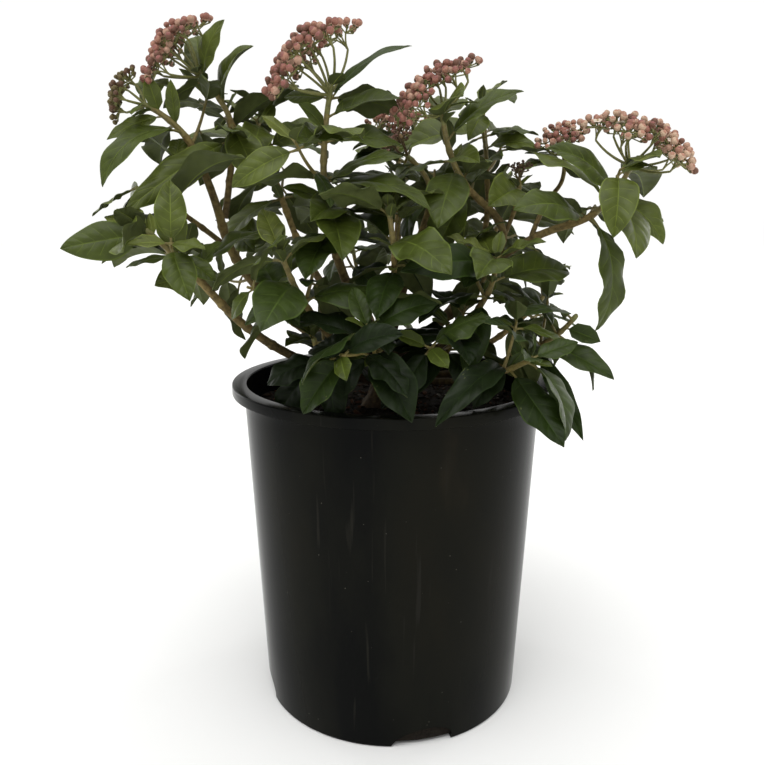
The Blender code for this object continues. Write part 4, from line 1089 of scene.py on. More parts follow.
def sunk(path, radii, sink):
    """A path whose start is drawn back into its carrier and whose end is rounded off."""
    start = path[0] - (path[1] - path[0]).normalized() * sink
    end = path[-1] + (path[-1] - path[-2]).normalized() * radii[-1] * TIP_ROUND
    return [start] + path + [end], [radii[0] * FOOT_NARROW] + radii + [radii[-1] * TIP_NARROW]


# Finishes

def add_node(tree, kind, inputs):
    """A new node whose inputs are linked to sockets or set to values."""
    node = tree.nodes.new(kind)
    for name, value in inputs.items():
        if isinstance(value, bpy.types.NodeSocket):
            tree.links.new(value, node.inputs[name])
        else:
            node.inputs[name].default_value = value
    return node


def colour_ramp(tree, value, stops):
    """Colours dealt out over a value's range; stops are pairs of place and colour."""
    ramp = add_node(tree, "ShaderNodeValToRGB", {"Fac": value})
    elements = ramp.color_ramp.elements
    while len(elements) < len(stops):
        elements.new(1.0)
    for element, (place, colour) in zip(elements, stops):
        element.position = place
        element.color = (*colour, 1)
    return ramp.outputs["Color"]


class Finish:
    """A Principled material built up from procedural nodes."""

    def __init__(self, name, specular=0.5):
        self.mat = bpy.data.materials.new(name)
        self.mat.use_nodes = True
        self.tree = self.mat.node_tree
        self.inputs = self.tree.nodes["Principled BSDF"].inputs
        self.inputs["Specular IOR Level"].default_value = specular
        self.place = add_node(self.tree, "ShaderNodeTexCoord", {}).outputs["Object"]

    def noise(self, scale, detail=3.0, stretch=(1, 1, 1), kind="ShaderNodeTexNoise"):
        """A pattern of the given grain per metre, drawn out where stretch is small."""
        mapping = add_node(self.tree, "ShaderNodeMapping", {"Vector": self.place, "Scale": stretch})
        inputs = {"Vector": mapping.outputs["Vector"], "Scale": scale}
        if kind == "ShaderNodeTexNoise":
            inputs["Detail"] = detail
        return add_node(self.tree, kind, inputs).outputs[0]

    def spots(self, base, colour, value, first, last):
        """Lays a colour over base where value runs from first to last."""
        mix = add_node(self.tree, "ShaderNodeMix", {"Factor": self.ranged(value, first, last, 0.0, 1.0)})
        mix.data_type = "RGBA"
        self.tree.links.new(base, mix.inputs[6])
        mix.inputs[7].default_value = (*colour, 1)
        return mix.outputs[2]

    def ranged(self, value, low, high, to_low, to_high):
        inputs = {"Value": value, "From Min": low, "From Max": high, "To Min": to_low, "To Max": to_high}
        return add_node(self.tree, "ShaderNodeMapRange", inputs).outputs["Result"]

    def colour(self, socket):
        self.tree.links.new(socket, self.inputs["Base Color"])

    def roughness(self, value, low, high):
        self.tree.links.new(self.ranged(value, 0.3, 0.7, low, high), self.inputs["Roughness"])

    def relief(self, value, depth, strength=0.6):
        inputs = {"Distance": depth, "Strength": strength, "Height": value}
        bump = add_node(self.tree, "ShaderNodeBump", inputs)
        self.tree.links.new(bump.outputs["Normal"], self.inputs["Normal"])


def scaled(colour, factor):
    return tuple(min(1.0, part * factor) for part in colour)


def vein_of(leaf_finish):
    return leaf_finish.replace("leaf", "vein")


def mottled(name, colour, roughness, scale=160, contrast=0.22, grain=900, depth=0.12 * MM, specular=0.4):
    """A plant's skin: blotches of one colour, an uneven gloss and a fine grain."""
    finish = Finish(name, specular)
    stops = ((0.3, scaled(colour, 1 - contrast)), (0.5, colour), (0.72, scaled(colour, 1 + contrast)))
    finish.colour(colour_ramp(finish.tree, finish.noise(scale, 4), stops))
    finish.roughness(finish.noise(scale * 2, 2), roughness - SMOOTHER, roughness + ROUGHER)
    finish.relief(finish.noise(grain, 3), depth)


def make_plant_finishes():
    for name, colour in LEAF_TINTS.items():
        gloss = 0.12 if name in ("leaf_black", "leaf_deep") else 0.22
        mottled(name, colour, 0.42, 110, 0.3, specular=gloss)
        mottled(vein_of(name), scaled(colour, VEIN_LIGHTER), 0.5, specular=gloss)
    mottled("leaf_underside", UNDERSIDE, 0.62, scale=130, specular=0.18)
    mottled("petiole", PETIOLE, 0.5, scale=500)
    for k in range(BARK_TINTS):
        share = k / (BARK_TINTS - 1)
        colour = [a + (b - a) * share for a, b in zip(*BARK_ENDS)]
        mottled(f"bark_{k}", colour, 0.72, 420, 0.45, 1300, 0.5 * MM, specular=0.22)
    mottled("young_bark", YOUNG_BARK, 0.5, 500, 0.3, 1500, 0.25 * MM)
    mottled("ray_green", RAY_GREEN, 0.55, 600, 0.25, 1500, 0.2 * MM)
    for name, (colour, roughness) in BLOSSOM.items():
        mottled(name, colour, roughness, 520, 0.16, 1600, 0.15 * MM, specular=0.3)
    for name, values in MIX_FINISHES.items():
        mottled(name, *values)


def make_pot_finish():
    """Black moulded plastic with dusty smudges and near-black patches of painted dark reflection, long fine
    scratches, pale specks and a soft gloss.
    """
    finish = Finish("pot_plastic", 0.045)
    # Broad blotches drawn out upright: dusty smears where lighter, painted dark reflection where darkest
    smears_and_dark_reflection = finish.noise(14, 5, (1, 1, 0.4))
    scratches = finish.noise(260, 2, (1, 1, 0.02))
    specks = finish.noise(130, kind="ShaderNodeTexVoronoi")
    black = colour_ramp(finish.tree, smears_and_dark_reflection, POT_BLACKS_AND_DARK_REFLECTION)
    black = finish.spots(black, POT_SCRATCH, scratches, 0.66, 0.74)
    finish.colour(finish.spots(black, POT_SPECK, specks, 0.05, 0.02))
    finish.roughness(finish.noise(11, 5, (1, 1, 0.5)), 0.1, 0.26)
    finish.relief(scratches, 0.03 * MM, 0.35)


# The leaf

class Blade:
    """The grid of a leaf's skin: shares along it, places across it, its faces and their finishes."""

    def __init__(self, vein_pairs, rows_between, across):
        self.vein_pairs = vein_pairs
        shares, self.veins = [0.0], [False]
        for k in range(vein_pairs):
            centre = FIRST_VEIN + (LAST_VEIN - FIRST_VEIN) * k / (vein_pairs - 1)
            start = shares[-1]
            for n in range(1, rows_between + 1):
                shares.append(start + (centre - VEIN_HALF - start) * n / rows_between)
            shares.append(centre + VEIN_HALF)
            self.veins += [False] * rows_between + [True]
        start = shares[-1]
        shares += [start + (1 - start) * n / END_ROWS for n in range(1, END_ROWS)]
        self.veins += [False] * (END_ROWS - 1)
        self.shares = np.array(shares)
        top = [-v for v in across[::-1]] + [0.0] + list(across)
        self.top = len(top)
        self.across = np.array(top + top[-2:0:-1])
        self.under = np.array([0.0] * len(top) + [1.0] * (len(top) - 2))
        self.midrib, self.middle = across[:2]
        rows, sides = len(PETIOLE_SHARES) + len(shares), len(self.across)
        self.faces = loft_faces(rows, sides, True)
        self.kinds = [self.kind(r, s) for r in range(rows - 1) for s in range(sides)] + ["petiole"]
        self.kinds += ["under" if self.is_under(s) else "blade" for s in range(sides)]

    def is_under(self, s):
        return self.under[s] or self.under[(s + 1) % len(self.across)]

    def kind(self, r, s):
        """The kind of finish of the face beyond ring r and place s across."""
        row = r + 1 - len(PETIOLE_SHARES)
        out = (abs(self.across[s]) + abs(self.across[(s + 1) % len(self.across)])) / 2
        if row <= 0:
            return "petiole"
        if out >= self.midrib and self.is_under(s):
            return "under"
        veined = out < self.midrib or out > EDGE_START or self.veins[row] and out < VEIN_REACH
        return "vein" if veined else "blade"


def outline(share):
    """The blade's half width along its length, from 0 to 1 at its widest."""
    peak = OUTLINE_BASE / (OUTLINE_BASE + OUTLINE_TIP)
    top = peak ** OUTLINE_BASE * (1 - peak) ** OUTLINE_TIP
    return share ** OUTLINE_BASE * (1 - share) ** OUTLINE_TIP / top


def leaf_character(leaf, rng):
    """How this leaf folds, cups, waves and twists."""
    return {
        "fold": rng.uniform(*(YOUNG_FOLDS if leaf.young else FOLDS)),
        "cup": rng.uniform(*CUPS),
        "wave": rng.uniform(*WAVES),
        "count": rng.uniform(*WAVE_COUNTS),
        "phase": rng.uniform(0, 2 * math.pi),
        "twist": math.radians(rng.uniform(*TWISTS)),
        "sabre": rng.uniform(*SABRES),
    }


def bent_to_leaf(leaf, way, share, aside, above):
    """Puts arrays of places along, aside and above a flat leaf onto its arched and twisted midrib."""
    ahead, face = np.array(leaf.ahead), np.array(leaf.face)
    side = np.cross(ahead, face)
    bend = leaf.droop * share
    sine, cosine = np.sin(bend)[..., None], np.cos(bend)[..., None]
    centre = np.array(leaf.root) + (ahead * sine - face * (1 - cosine)) * (leaf.length / leaf.droop)
    normal = face * cosine + ahead * sine
    twist = (way["twist"] * np.maximum(share - BLADE_START, 0))[..., None]
    across = side * np.cos(twist) + normal * np.sin(twist)
    upward = normal * np.cos(twist) - side * np.sin(twist)
    aside = aside + way["sabre"] * leaf.length * share ** 2
    return centre + across * aside[..., None] + upward * above[..., None]


def leaf_points(leaf, way, grid):
    """All points of one fine leaf: petiole rings, blade rings and the tip."""
    half = leaf.length * leaf.width / 2
    size = min(1.0, half / FULL_HALF)
    turn = np.concatenate((np.linspace(-90, 90, grid.top), np.linspace(90, 270, grid.top)[1:-1]))
    turn = np.radians(turn)[None, :]
    petiole = np.array(PETIOLE_SHARES)[:, None] + 0 * turn
    radii = np.array(PETIOLE_RADII)[:, None] * (0.5 + 0.5 * size)
    stalk = bent_to_leaf(leaf, way, petiole, np.sin(turn) * radii, np.cos(turn) * radii)

    across = grid.across[None, :]
    rows = grid.shares[:, None]
    share = rows + VEIN_SLANT * np.abs(across) * rows * (1 - rows)
    neck = NECK * (0.5 + 0.5 * size) * (1 - share)
    aside = across * (neck + (half - neck) * outline(share))
    reach = np.abs(aside)
    above = way["fold"] * reach - way["cup"] * reach ** 2 / half
    phase = (rows - FIRST_VEIN) / (LAST_VEIN - FIRST_VEIN) * (grid.vein_pairs - 1)
    lens = 4 * np.abs(across) * (1 - np.abs(across))
    above = above + QUILT * size * np.sin(np.pi * phase) ** 2 * lens
    swing = np.sin(2 * np.pi * way["count"] * share + way["phase"] + np.sign(across))
    above = above + way["wave"] * half * swing * across ** 2 * 4 * share * (1 - share) * 2
    middle = np.maximum(0, 1 - np.abs(across) / grid.middle)
    above = above - MIDRIB_SINK * size * middle * (1 - share)
    thick = (BLADE_THICK + RIB_THICK * middle * (1 - share)) * (THINNEST + (1 - THINNEST) * size)
    above = above - grid.under[None, :] * thick
    blade = bent_to_leaf(leaf, way, BLADE_START + (1 - BLADE_START) * share, aside, above)

    tip = bent_to_leaf(leaf, way, np.array([1.0]), np.array([0.0]), np.array([0.0]))
    return np.concatenate((stalk.reshape(-1, 3), blade.reshape(-1, 3), tip))


def leaf_tint_and_painted_shade(leaf, rng):
    """Younger leaves are lighter, old ones darker, and leaves inside the crown and low down darker still as
    painted shade.
    """
    if leaf.young:
        # A young leaf low in the crown takes a darker tint: painted shade
        low = leaf.root.z < PAINTED_SHADE_YOUNG_BELOW
        return rng.choice(("leaf_mid", "leaf_dark") if low else ("leaf_young", "leaf_light"))
    middle, _, _ = leaf_spine(leaf, SHADE_SPINE)
    # Painted shade: leaves towards the middle and the bottom of the crown are drawn darker
    inside = 1 - min(1.0, abs(middle.x) / SHADE_HALF)
    low = 1 - min(1.0, max(0.0, (middle.z - SHADE_START) / SHADE_RANGE))
    depth = PAINTED_SHADE_INSIDE * inside + PAINTED_SHADE_LOW * low * (0.45 + 0.55 * inside) + SHADE_AGE * leaf.age
    depth += rng.uniform(-SHADE_CHANCE, SHADE_CHANCE)
    return PAINTED_SHADES[max(0, min(len(PAINTED_SHADES) - 1, int(depth * SHADE_STEPS)))]


def leaf_group(mass):
    """The piece that a mass's leaves belong to."""
    tip = mass.stem.path[-1]
    if tip.y >= BACK_START:
        return "leaves_back"
    if tip.x < -SIDE_START:
        return "leaves_left"
    return "leaves_middle" if tip.x < SIDE_START else "leaves_right"


def make_leaves(crown):
    """The leaves of all masses, in a few joined pieces."""
    materials = ["petiole", "leaf_underside", *LEAF_TINTS, *map(vein_of, LEAF_TINTS)]
    fine = Blade(FINE_VEINS, FINE_ROWS, FINE_ACROSS)
    small = Blade(SMALL_VEINS, SMALL_ROWS, SMALL_ACROSS)
    for group in LEAF_GROUPS:
        gathered = Gathered(materials)
        nodes = [name for name in crown if leaf_group(crown[name]) == group]
        for name in nodes:
            rng = random.Random(name)
            for leaf in crown[name].leaves:
                # The blade's tint carries painted shade by the leaf's place in the crown
                tint = leaf_tint_and_painted_shade(leaf, rng)
                finishes = {"petiole": "petiole", "under": "leaf_underside", "blade": tint}
                finishes["vein"] = vein_of(tint)
                grid = small if leaf.length < SMALL_LEAF else fine
                points = leaf_points(leaf, leaf_character(leaf, rng), grid)
                gathered.add(points, grid.faces, [finishes[kind] for kind in grid.kinds])
        gathered.place(group, 50, "foliage", *nodes)


# Trunk, boughs, stems and twigs

def bark_relief(seed, ridges, depth, nodes=()):
    """Uneven bark: long ridges and small bumps, with a swelling at each node."""
    def relief(run, angle):
        ring = Vector((math.cos(angle), math.sin(angle), seed * BARK_SEED_STEP))
        long = noise.noise(ring * ridges + Vector((0, 0, run * BARK_LONG)))
        short = noise.noise(ring * ridges * BARK_FINER + Vector((0, 0, run * BARK_SHORT)))
        swell = sum(NODE_SWELL * math.exp(-((run - node) / NODE_REACH) ** 2) for node in nodes)
        return 1 + depth * (long + 0.5 * short) + swell
    return relief


def make_trunk(trunk):
    gathered = Gathered(["bark_0", "bark_1"])
    path, radii = smooth_limb(trunk, TRUNK_STEP)
    rough = bark_relief(1, *TRUNK_BARK)
    height = (path[-1] - path[0]).length

    def relief(run, angle):
        fade = max(0.0, 1 - run / (TRUNK_FLARE_HEIGHT * height))
        lobes = 1 + TRUNK_LOBE_DEPTH * fade * math.cos(TRUNK_LOBES * angle)
        return rough(run, angle) * lobes * TRUNK_SHRINK

    rings = limb_rings(path, radii, BARK_SIDES, relief)
    for point in all_points(rings):
        point.z = max(point.z, TRUNK_FOOT.z)
    end = path[-1] + direction_at(path, len(path) - 1) * radii[-1] * TRUNK_END
    rings.append([end.lerp(point, TRUNK_END_NARROW) for point in rings[-1]])
    rng = random.Random(TRUNK_SEED)
    faces = loft_faces(len(rings), BARK_SIDES, True)
    finishes = [rng.choice(("bark_0", "bark_0", "bark_1")) for _ in faces]
    gathered.add_rings(rings, finishes, end + UP * MM)
    gathered.place("trunk_bark", 60, "bark", "trunk")


def make_boughs(limbs):
    """All boughs, each set into what carries it, browner below and olive towards the tip."""
    gathered = Gathered([f"bark_{k}" for k in range(BARK_TINTS)])
    for seed, row in enumerate(BOUGHS):
        rng = random.Random(seed)
        path, radii = smooth_limb(limbs[row.name], LIMB_STEP)
        sink = SINK if row.elbow is None else along_path(limbs[row.parent], row.at)[2]
        length = path_length(path)
        nodes, run = [], rng.uniform(*BOUGH_NODES)
        while run < length:
            nodes.append(run + sink)
            run += rng.uniform(*BOUGH_NODES)
        start = 0.0 if row.parent == "trunk" else 0.5

        def tint(share):
            place = start + (1 - start) * share
            shade = int(place * BARK_TINTS + rng.uniform(-TINT_SPREAD, TINT_SPREAD))
            return f"bark_{max(0, min(BARK_TINTS - 1, shade))}"

        path, radii = sunk(path, radii, sink)
        gathered.add_limb(path, radii, LIMB_SIDES, tint, bark_relief(seed + 20, *BOUGH_BARK, nodes))
    gathered.place("bough_bark", 60, "bark", *["bough_" + row.name for row in BOUGHS])


def stem_tint(share):
    if share < BROWN_UNTIL:
        return f"bark_{BARK_TINTS - 1}"
    return "young_bark" if share < OLIVE_UNTIL else "ray_green"


def make_stems(crown, heads):
    """Stems, side twigs and the forked stalks of the flower heads."""
    gathered = Gathered(["young_bark", "ray_green"] + [f"bark_{k}" for k in range(BARK_TINTS)])
    for seed, mass in enumerate(crown.values()):
        path, radii = smooth_limb(mass.stem, LIMB_STEP)
        length, pairs = path_length(path), mass.row.pairs
        nodes = [0.0] + [pair_share(k, pairs) * length + SINK for k in range(pairs)]
        path, radii = sunk(path, radii, SINK)
        rough = bark_relief(seed + 60, *STEM_BARK, nodes)
        gathered.add_limb(path, radii, LIMB_SIDES, stem_tint, rough)
        for twig in mass.twigs:
            rough = bark_relief(seed + 90, *STEM_BARK)
            gathered.add_limb(*smooth_limb(twig, LIMB_STEP), TWIG_BARK_SIDES, twig.finish, rough)
    for stalk in heads["stalks"]:
        gathered.add_limb(*smooth_limb(stalk, STALK_STEP), stalk.sides, stalk.finish)
    gathered.place("young_stems", 60, "young_stem", *crown)


# Flower heads

def cap_directions(axis, count, opening, rng):
    """Unit vectors spread evenly over a cap round axis."""
    across = across_of(axis)
    start = rng.uniform(0, 2 * math.pi)
    ways = []
    for k in range(count):
        lean = math.acos(1 - (1 - math.cos(opening)) * (k + 0.5) / count)
        angle = start + k * GOLDEN_ANGLE + rng.uniform(-WAY_SPREAD, WAY_SPREAD)
        ways.append(axis * math.cos(lean) + spun(across, axis, angle) * math.sin(lean))
    return ways


def grow_heads(crown):
    """The forked stalks, buds and open flowers of every head."""
    heads = {"stalks": [], "buds": [], "flowers": []}
    for name, mass in crown.items():
        if not mass.blobs:
            continue
        rng = random.Random(name + "_head")
        head = HEADS[mass.row.head]
        first = len(heads["buds"])
        for blob in mass.blobs:
            grow_cluster(heads, mass.stem, blob, head, rng)
        upright = sorted(heads["buds"][first:], key=lambda bud: -bud.way.z)
        half = len(upright) // 2
        for bud in rng.sample(upright[:half + 1], min(head.open_flowers, half)):
            heads["buds"].remove(bud)
            heads["flowers"].append(bud)
    return heads


def flattened(way, axis):
    """A way out of a cluster, pressed flat along the head's axis as the cluster is."""
    return way - axis * way.dot(axis) * (1 - BLOB_SQUASH)


def grow_cluster(heads, stem, blob, head, rng):
    """One ray of a head with its forks, and the buds that they carry."""
    middle, radius, head_axis = blob
    tip = stem.path[-1]
    out = (middle - tip).normalized()
    axis = (head_axis * (1 - CLUSTER_OUT) + out * CLUSTER_OUT).normalized()
    fork = middle - axis * radius * CLUSTER_DROP
    finish = "bark_1" if head.finishes[0] in ("spent_brown", "spent_tan") else "ray_green"

    def add_stalk(path, radii, sides):
        heads["stalks"].append(Limb(path, tapered(*radii, len(path)), sides, finish))

    inside = stem.path[-2].lerp(tip, RAY_START)
    elbow = tip.lerp(fork, RAY_BEND) - axis * (fork - tip).length * RAY_RISE
    add_stalk(bent(inside, elbow, fork, 4), RAY_RADII, RAY_BARK_SIDES)
    ends = []
    for way in cap_directions(axis, head.forks, FORK_OPENING, rng):
        end = middle + flattened(way, axis) * radius * FORK_OUT - axis * radius * FORK_DROP
        add_stalk(bent(fork, fork + axis * radius * FORK_RISE, end, 3), FORK_RADII, FORK_SIDES)
        ends.append(end)
    for way in cap_directions(axis, head.buds, CLUSTER_OPENING, rng):
        size = head.size * rng.uniform(*BUD_SIZES)
        base = middle + flattened(way, axis) * radius - axis * BUD_LENGTH * size * BUD_DROP
        end = min(ends, key=lambda end: (end - base).length)
        inner = bent(end, end.lerp(base, 0.5), base + way * STALK_SINK * MM, 2)
        add_stalk(inner, STALK_RADII, STALK_SIDES)
        lean = Vector((rng.uniform(-1, 1), rng.uniform(-1, 1), rng.uniform(-0.4, 1))) * BUD_LEAN
        way = (way + axis * BUD_RISE + lean).normalized()
        heads["buds"].append(Bud(base, way, size, rng.choice(head.finishes)))


def add_bud(gathered, bud, finishes):
    across = across_of(bud.way)
    rings = []
    for t, reach in BUD_PROFILE:
        ring = []
        for angle in angles(BUD_SIDES):
            lobes = 1 + BUD_LOBES * math.cos(5 * angle) * t
            out = reach * lobes * BUD_RADIUS * bud.size
            ring.append(bud.base + bud.way * t * BUD_LENGTH * bud.size + spun(across, bud.way, angle) * out)
        rings.append(ring)
    gathered.add_rings(rings, finishes, bud.base + bud.way * BUD_LENGTH * bud.size)


def bud_finishes(bud):
    """The finish of each face of a bud: a coloured one has a green calyx, a pale ring and a tip."""
    calyx, ring, tip = "calyx_green", "bud_pale", "bud_tip"
    if bud.finish in ("bud_cream", "bud_pale"):
        tip = "bud_salmon"
    if not bud.finish.startswith("bud_"):
        calyx = ring = tip = bud.finish
    finishes = []
    for (low, _), (high, _) in zip(BUD_PROFILE, BUD_PROFILE[1:]):
        middle = (low + high) / 2
        name = tip if middle > TIP_START else bud.finish
        if middle <= PALE_END:
            name = calyx if middle < CALYX_END else ring
        finishes += [name] * BUD_SIDES
    return finishes + [calyx] + [tip] * BUD_SIDES


def add_flower(gathered, bud):
    """An open flower: five rounded petals round a small eye."""
    axis = bud.way
    across = across_of(axis)
    centre = bud.base + axis * FLOWER_RISE * MM
    for angle in angles(PETALS):
        out = spun(across, axis, angle)
        side = axis.cross(out)
        rings = []
        for t, width in PETAL_PROFILE:
            rise = PETAL_RISE * math.sin(PETAL_CURVE * t) - PETAL_FALL * t * t
            middle = centre + out * t * PETAL_LENGTH + axis * rise * MM
            ring = []
            for around in angles(PETAL_SIDES):
                reach = side * math.cos(around) * PETAL_WIDTH / 2 * width
                ring.append(middle + reach - axis * math.sin(around) * PETAL_THICK / 2)
            rings.append(ring)
        tip = centre + out * PETAL_LENGTH + axis * PETAL_TIP_RISE * MM
        gathered.add_rings(rings, "petal_white", tip)
    add_bud(gathered, Bud(centre - axis * EYE_DROP * MM, axis, EYE_SIZE), "flower_eye")
    add_bud(gathered, Bud(bud.base, axis, CUP_SIZE), "calyx_green")


def make_blossom(crown, heads):
    gathered = Gathered(BLOSSOM)
    for bud in heads["buds"]:
        add_bud(gathered, bud, bud_finishes(bud))
    for bud in heads["flowers"]:
        add_flower(gathered, bud)
    gathered.place("blossom", 60, "blossom", *[name for name in crown if crown[name].blobs])


# Pot and potting mix

def arc(centre, radius, first, last):
    """Points of radius and height on part of a circle, between two angles in degrees."""
    points = []
    for k in range(ROUND_STEPS + 1):
        angle = math.radians(first + (last - first) * k / ROUND_STEPS)
        points.append((centre[0] + radius * math.cos(angle), centre[1] + radius * math.sin(angle)))
    return points


def wall_radius(height):
    """The outer radius of the pot's wall."""
    return POT_BASE_RADIUS + (POT_TOP_RADIUS - POT_BASE_RADIUS) * height / POT_HEIGHT


def pot_profile():
    flange = POT_HEIGHT - RIM_WALL
    skirt = POT_HEIGHT - RIM_DROP
    skirt_inner = RIM_RADIUS - RIM_WALL
    inner = wall_radius(POT_HEIGHT) - POT_WALL
    small = RIM_WALL / 2
    profile = [(0, 0), (POT_BASE_RADIUS * 0.5, 0)]
    profile += arc((wall_radius(FOOT_ROUND) - FOOT_ROUND, FOOT_ROUND), FOOT_ROUND, -90, 0)
    profile += [(wall_radius(h * MM), h * MM) for h in WALL_HEIGHTS]
    profile += [(wall_radius(flange - RIM_FILLET), flange - RIM_FILLET)]
    profile += [(wall_radius(flange) + out * MM, flange - down * MM) for out, down in RIM_CORNER]
    profile += [(skirt_inner - SKIRT_CORNER, flange), (skirt_inner, flange - SKIRT_CORNER)]
    profile += arc((RIM_RADIUS - small, skirt + small), small, 180, 360)
    profile += arc((RIM_RADIUS - LIP_ROUND, POT_HEIGHT - LIP_ROUND), LIP_ROUND, 0, 90)
    profile += arc((inner + LIP_ROUND, POT_HEIGHT - LIP_ROUND), LIP_ROUND, 90, 180)
    profile += [(wall_radius(h * MM) - POT_WALL, h * MM) for h in INNER_HEIGHTS]
    profile += [(wall_radius(POT_FLOOR) - POT_WALL, POT_FLOOR)]
    return profile + [(POT_BASE_RADIUS * 0.5, POT_FLOOR), (0, POT_FLOOR)]


def notch_block(bm, n):
    """An arched block where one drain notch is cut."""
    half = NOTCH_WIDTH / 2
    turn = Matrix.Rotation(FIRST_NOTCH + n * 2 * math.pi / NOTCH_COUNT, 4, "Z")
    arch = [(-half, -FOOT_ROUND), (half, -FOOT_ROUND)]
    for k in range(NOTCH_ARC_POINTS):
        angle = math.pi * k / (NOTCH_ARC_POINTS - 1)
        across = half * math.cos(angle) + NOTCH_SKEW * half * math.sin(angle)
        arch.append((across, NOTCH_HEIGHT * math.sin(angle) + NOTCH_LIP))
    inner = POT_BASE_RADIUS - NOTCH_DEPTH
    verts = [bm.verts.new(turn @ Vector((inner, across, up))) for across, up in arch]
    block = bmesh.ops.extrude_face_region(bm, geom=[bm.faces.new(verts)])
    moved = [item for item in block["geom"] if isinstance(item, bmesh.types.BMVert)]
    bmesh.ops.translate(bm, vec=turn @ Vector((2 * NOTCH_DEPTH, 0, 0)), verts=moved)


def linked_mesh(name, bm):
    """A new object in the scene that holds bm as its mesh."""
    bmesh.ops.recalc_face_normals(bm, faces=bm.faces)
    mesh = bpy.data.meshes.new(name)
    bm.to_mesh(mesh)
    bm.free()
    return linked(name, mesh)


def make_pot():
    body = linked_mesh("pot_body", turned(bmesh.new(), pot_profile(), POT_SEGMENTS))
    blocks = bmesh.new()
    for n in range(NOTCH_COUNT):
        notch_block(blocks, n)
    cutter = linked_mesh("notch_blocks", blocks)
    cut = body.modifiers.new("drain_notches", "BOOLEAN")
    cut.operation, cut.solver, cut.object = "DIFFERENCE", "EXACT", cutter
    bpy.context.view_layer.update()
    mesh = bpy.data.meshes.new_from_object(body.evaluated_get(bpy.context.evaluated_depsgraph_get()))
    bpy.data.objects.remove(body)
    bpy.data.objects.remove(cutter)
    mesh.materials.clear()
    mesh.materials.append(bpy.data.materials["pot_plastic"])
    placed("pot_shell", mesh, 32, "black_plastic", "pot")


def mix_height(x, y):
    """How far the mix rises above or sinks below its mean at a place."""
    rise = 0.0
    for grain, share in MIX_LUMPS:
        rise += share * noise.noise(Vector((x * grain, y * grain, 3.7)))
    return MIX_RISE * rise


def make_mix():
    """The mix fills the pot; its top is crumbly and meets the wall."""
    bottom = POT_FLOOR + GAP
    edge = wall_radius(MIX_TOP) - POT_WALL - GAP
    gathered = Gathered(["mix_dark"])
    levels = [(wall_radius(bottom) - POT_WALL - GAP, bottom), (edge, MIX_TOP - 2 * MIX_RISE)]
    levels += [(edge * (1 - k / MIX_RINGS) ** MIX_CROWDING, None) for k in range(MIX_RINGS)]
    rings = []
    for radius, height in levels:
        spots = [(radius * math.cos(angle), radius * math.sin(angle)) for angle in angles(MIX_SEGMENTS)]
        rings.append([(x, y, height if height else MIX_TOP + mix_height(x, y)) for x, y in spots])
    gathered.add_rings(rings, "mix_dark", (0, 0, MIX_TOP))
    gathered.place("potting_mix_body", 80, "potting_mix", "potting_mix")


def make_chips():
    """Bark chips, crumbs and a few pale grains that lie on the mix."""
    gathered = Gathered(CHIP_SHARES)
    rng = random.Random(CHIP_SEED)
    edge = wall_radius(MIX_TOP) - POT_WALL - 2 * MM
    for _ in range(CHIP_COUNT):
        out = math.sqrt(rng.uniform(0, 1)) * edge
        angle = rng.uniform(0, 2 * math.pi)
        x, y = out * math.cos(angle), out * math.sin(angle)
        if (Vector((x, y)) - TRUNK_FOOT.xy).length < CHIP_CLEAR_OF_TRUNK:
            continue
        size = CHIP_SIZES[0] + (CHIP_SIZES[1] - CHIP_SIZES[0]) * rng.random() ** CHIP_SMALLNESS
        middle = Vector((x, y, MIX_TOP + mix_height(x, y) + size * CHIP_SUNK))
        turn = rng.uniform(0, math.pi)
        tilt = Matrix.Rotation(turn, 3, Vector((rng.uniform(-1, 1), rng.uniform(-1, 1), 2)))
        tilt = tilt @ Matrix.Rotation(rng.uniform(-CHIP_TILT, CHIP_TILT), 3, "X")
        stretch = rng.uniform(*CHIP_STRETCHES)
        rise = size * rng.uniform(*CHIP_THICKNESSES) / 2
        rings = []
        for height in (-rise, rise):
            ring = []
            for around in angles(CHIP_SIDES):
                reach = size * rng.uniform(*CHIP_REACHES)
                corner = (math.cos(around) * reach * stretch, math.sin(around) * reach, height)
                ring.append(middle + tilt @ Vector(corner))
            rings.append(ring)
        gathered.add_rings(rings, rng.choices(tuple(CHIP_SHARES), tuple(CHIP_SHARES.values()))[0])
    gathered.place("mix_chips", 30, "potting_mix", "potting_mix")


# Stage

def make_floor():
    """A plain pale floor."""
    finish = Finish("floor_white", 0.1)
    haze = finish.noise(3, 2)
    finish.colour(colour_ramp(finish.tree, haze, FLOOR_WHITES))
    finish.roughness(haze, 0.85, 0.9)
    bm = bmesh.new()
    bmesh.ops.create_circle(bm, cap_ends=True, segments=FLOOR_SEGMENTS, radius=FLOOR_RADIUS)
    floor = linked_mesh("floor", bm)
    floor.data.materials.append(finish.mat)
    floor.location.z = FLOOR_HEIGHT


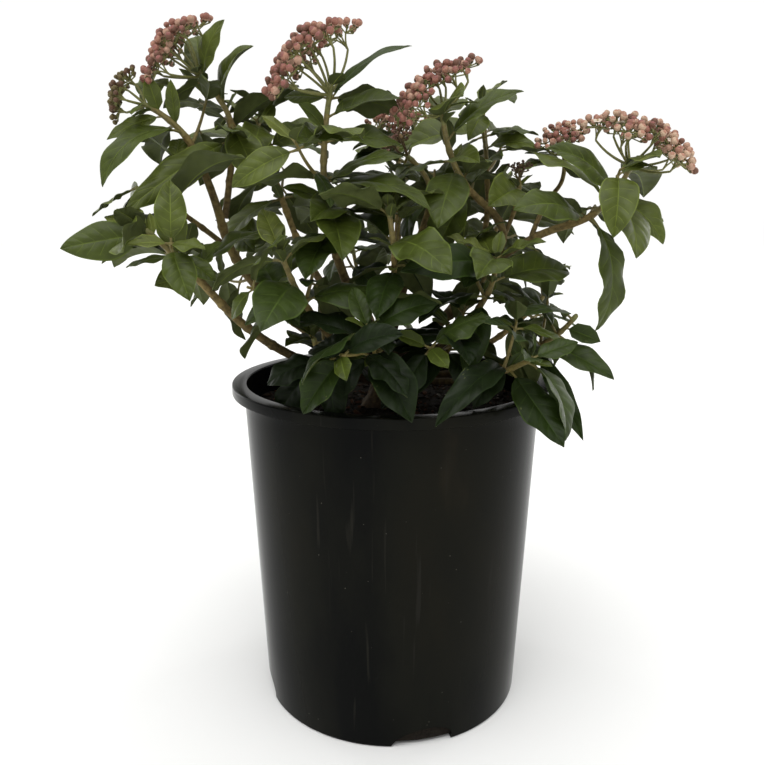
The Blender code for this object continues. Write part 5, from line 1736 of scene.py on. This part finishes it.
def make_strip(name, place):
    """A soft box that faces the plant."""
    light = bpy.data.lights.new(name, "AREA")
    light.shape = "RECTANGLE"
    light.size, light.size_y = STRIP_SIZE
    light.energy = STRIP_POWER
    obj = linked(name, light)
    obj.location = place
    obj.rotation_euler = (STRIP_TARGET - Vector(place)).to_track_quat("-Z", "Y").to_euler()
    obj.visible_camera = False


def make_sun():
    """A wide soft sun that lights the floor evenly out to the horizon."""
    light = bpy.data.lights.new("top_light", "SUN")
    light.energy = SUN_STRENGTH
    light.angle = SUN_SPREAD
    linked("top_light", light).rotation_euler = SUN_TILT


def make_room(scene):
    """A white surround, dimmer in a band above the horizon and bright overhead."""
    scene.world = bpy.data.worlds.new("pale_room")
    scene.world.use_nodes = True
    tree = scene.world.node_tree
    place = add_node(tree, "ShaderNodeTexCoord", {}).outputs["Generated"]
    split = add_node(tree, "ShaderNodeSeparateXYZ", {"Vector": place})
    stops = [(rise, (light, light, light * ROOM_WARMTH)) for rise, light in ROOM]
    background = tree.nodes["Background"]
    background.inputs["Strength"].default_value = ROOM_STRENGTH
    tree.links.new(colour_ramp(tree, split.outputs["Z"], stops), background.inputs["Color"])


def make_camera(scene):
    camera = bpy.data.cameras.new("photo_camera")
    camera.sensor_width = SENSOR
    camera.lens = SENSOR * FOCAL_PIXELS / IMAGE_PIXELS
    camera.shift_y = CAMERA_SHIFT
    scene.camera = linked("photo_camera", camera)
    scene.camera.location = CAMERA_PLACE
    scene.camera.rotation_euler = (math.pi / 2 - CAMERA_DIP, 0, CAMERA_TURN)


def make_stage():
    scene = bpy.context.scene
    scene.view_settings.view_transform = "Standard"
    make_floor()
    make_room(scene)
    make_sun()
    for name, place in STRIP_PLACES.items():
        make_strip(name, place)
    make_camera(scene)


def main():
    make_plant_finishes()
    make_pot_finish()
    make_pot()
    make_mix()
    make_chips()
    limbs = {"trunk": grow_trunk()}
    grow_boughs(limbs)
    make_trunk(limbs["trunk"])
    make_boughs(limbs)
    crown = grow_crown(limbs)
    heads = grow_heads(crown)
    make_leaves(crown)
    make_stems(crown, heads)
    make_blossom(crown, heads)
    make_stage()


main()
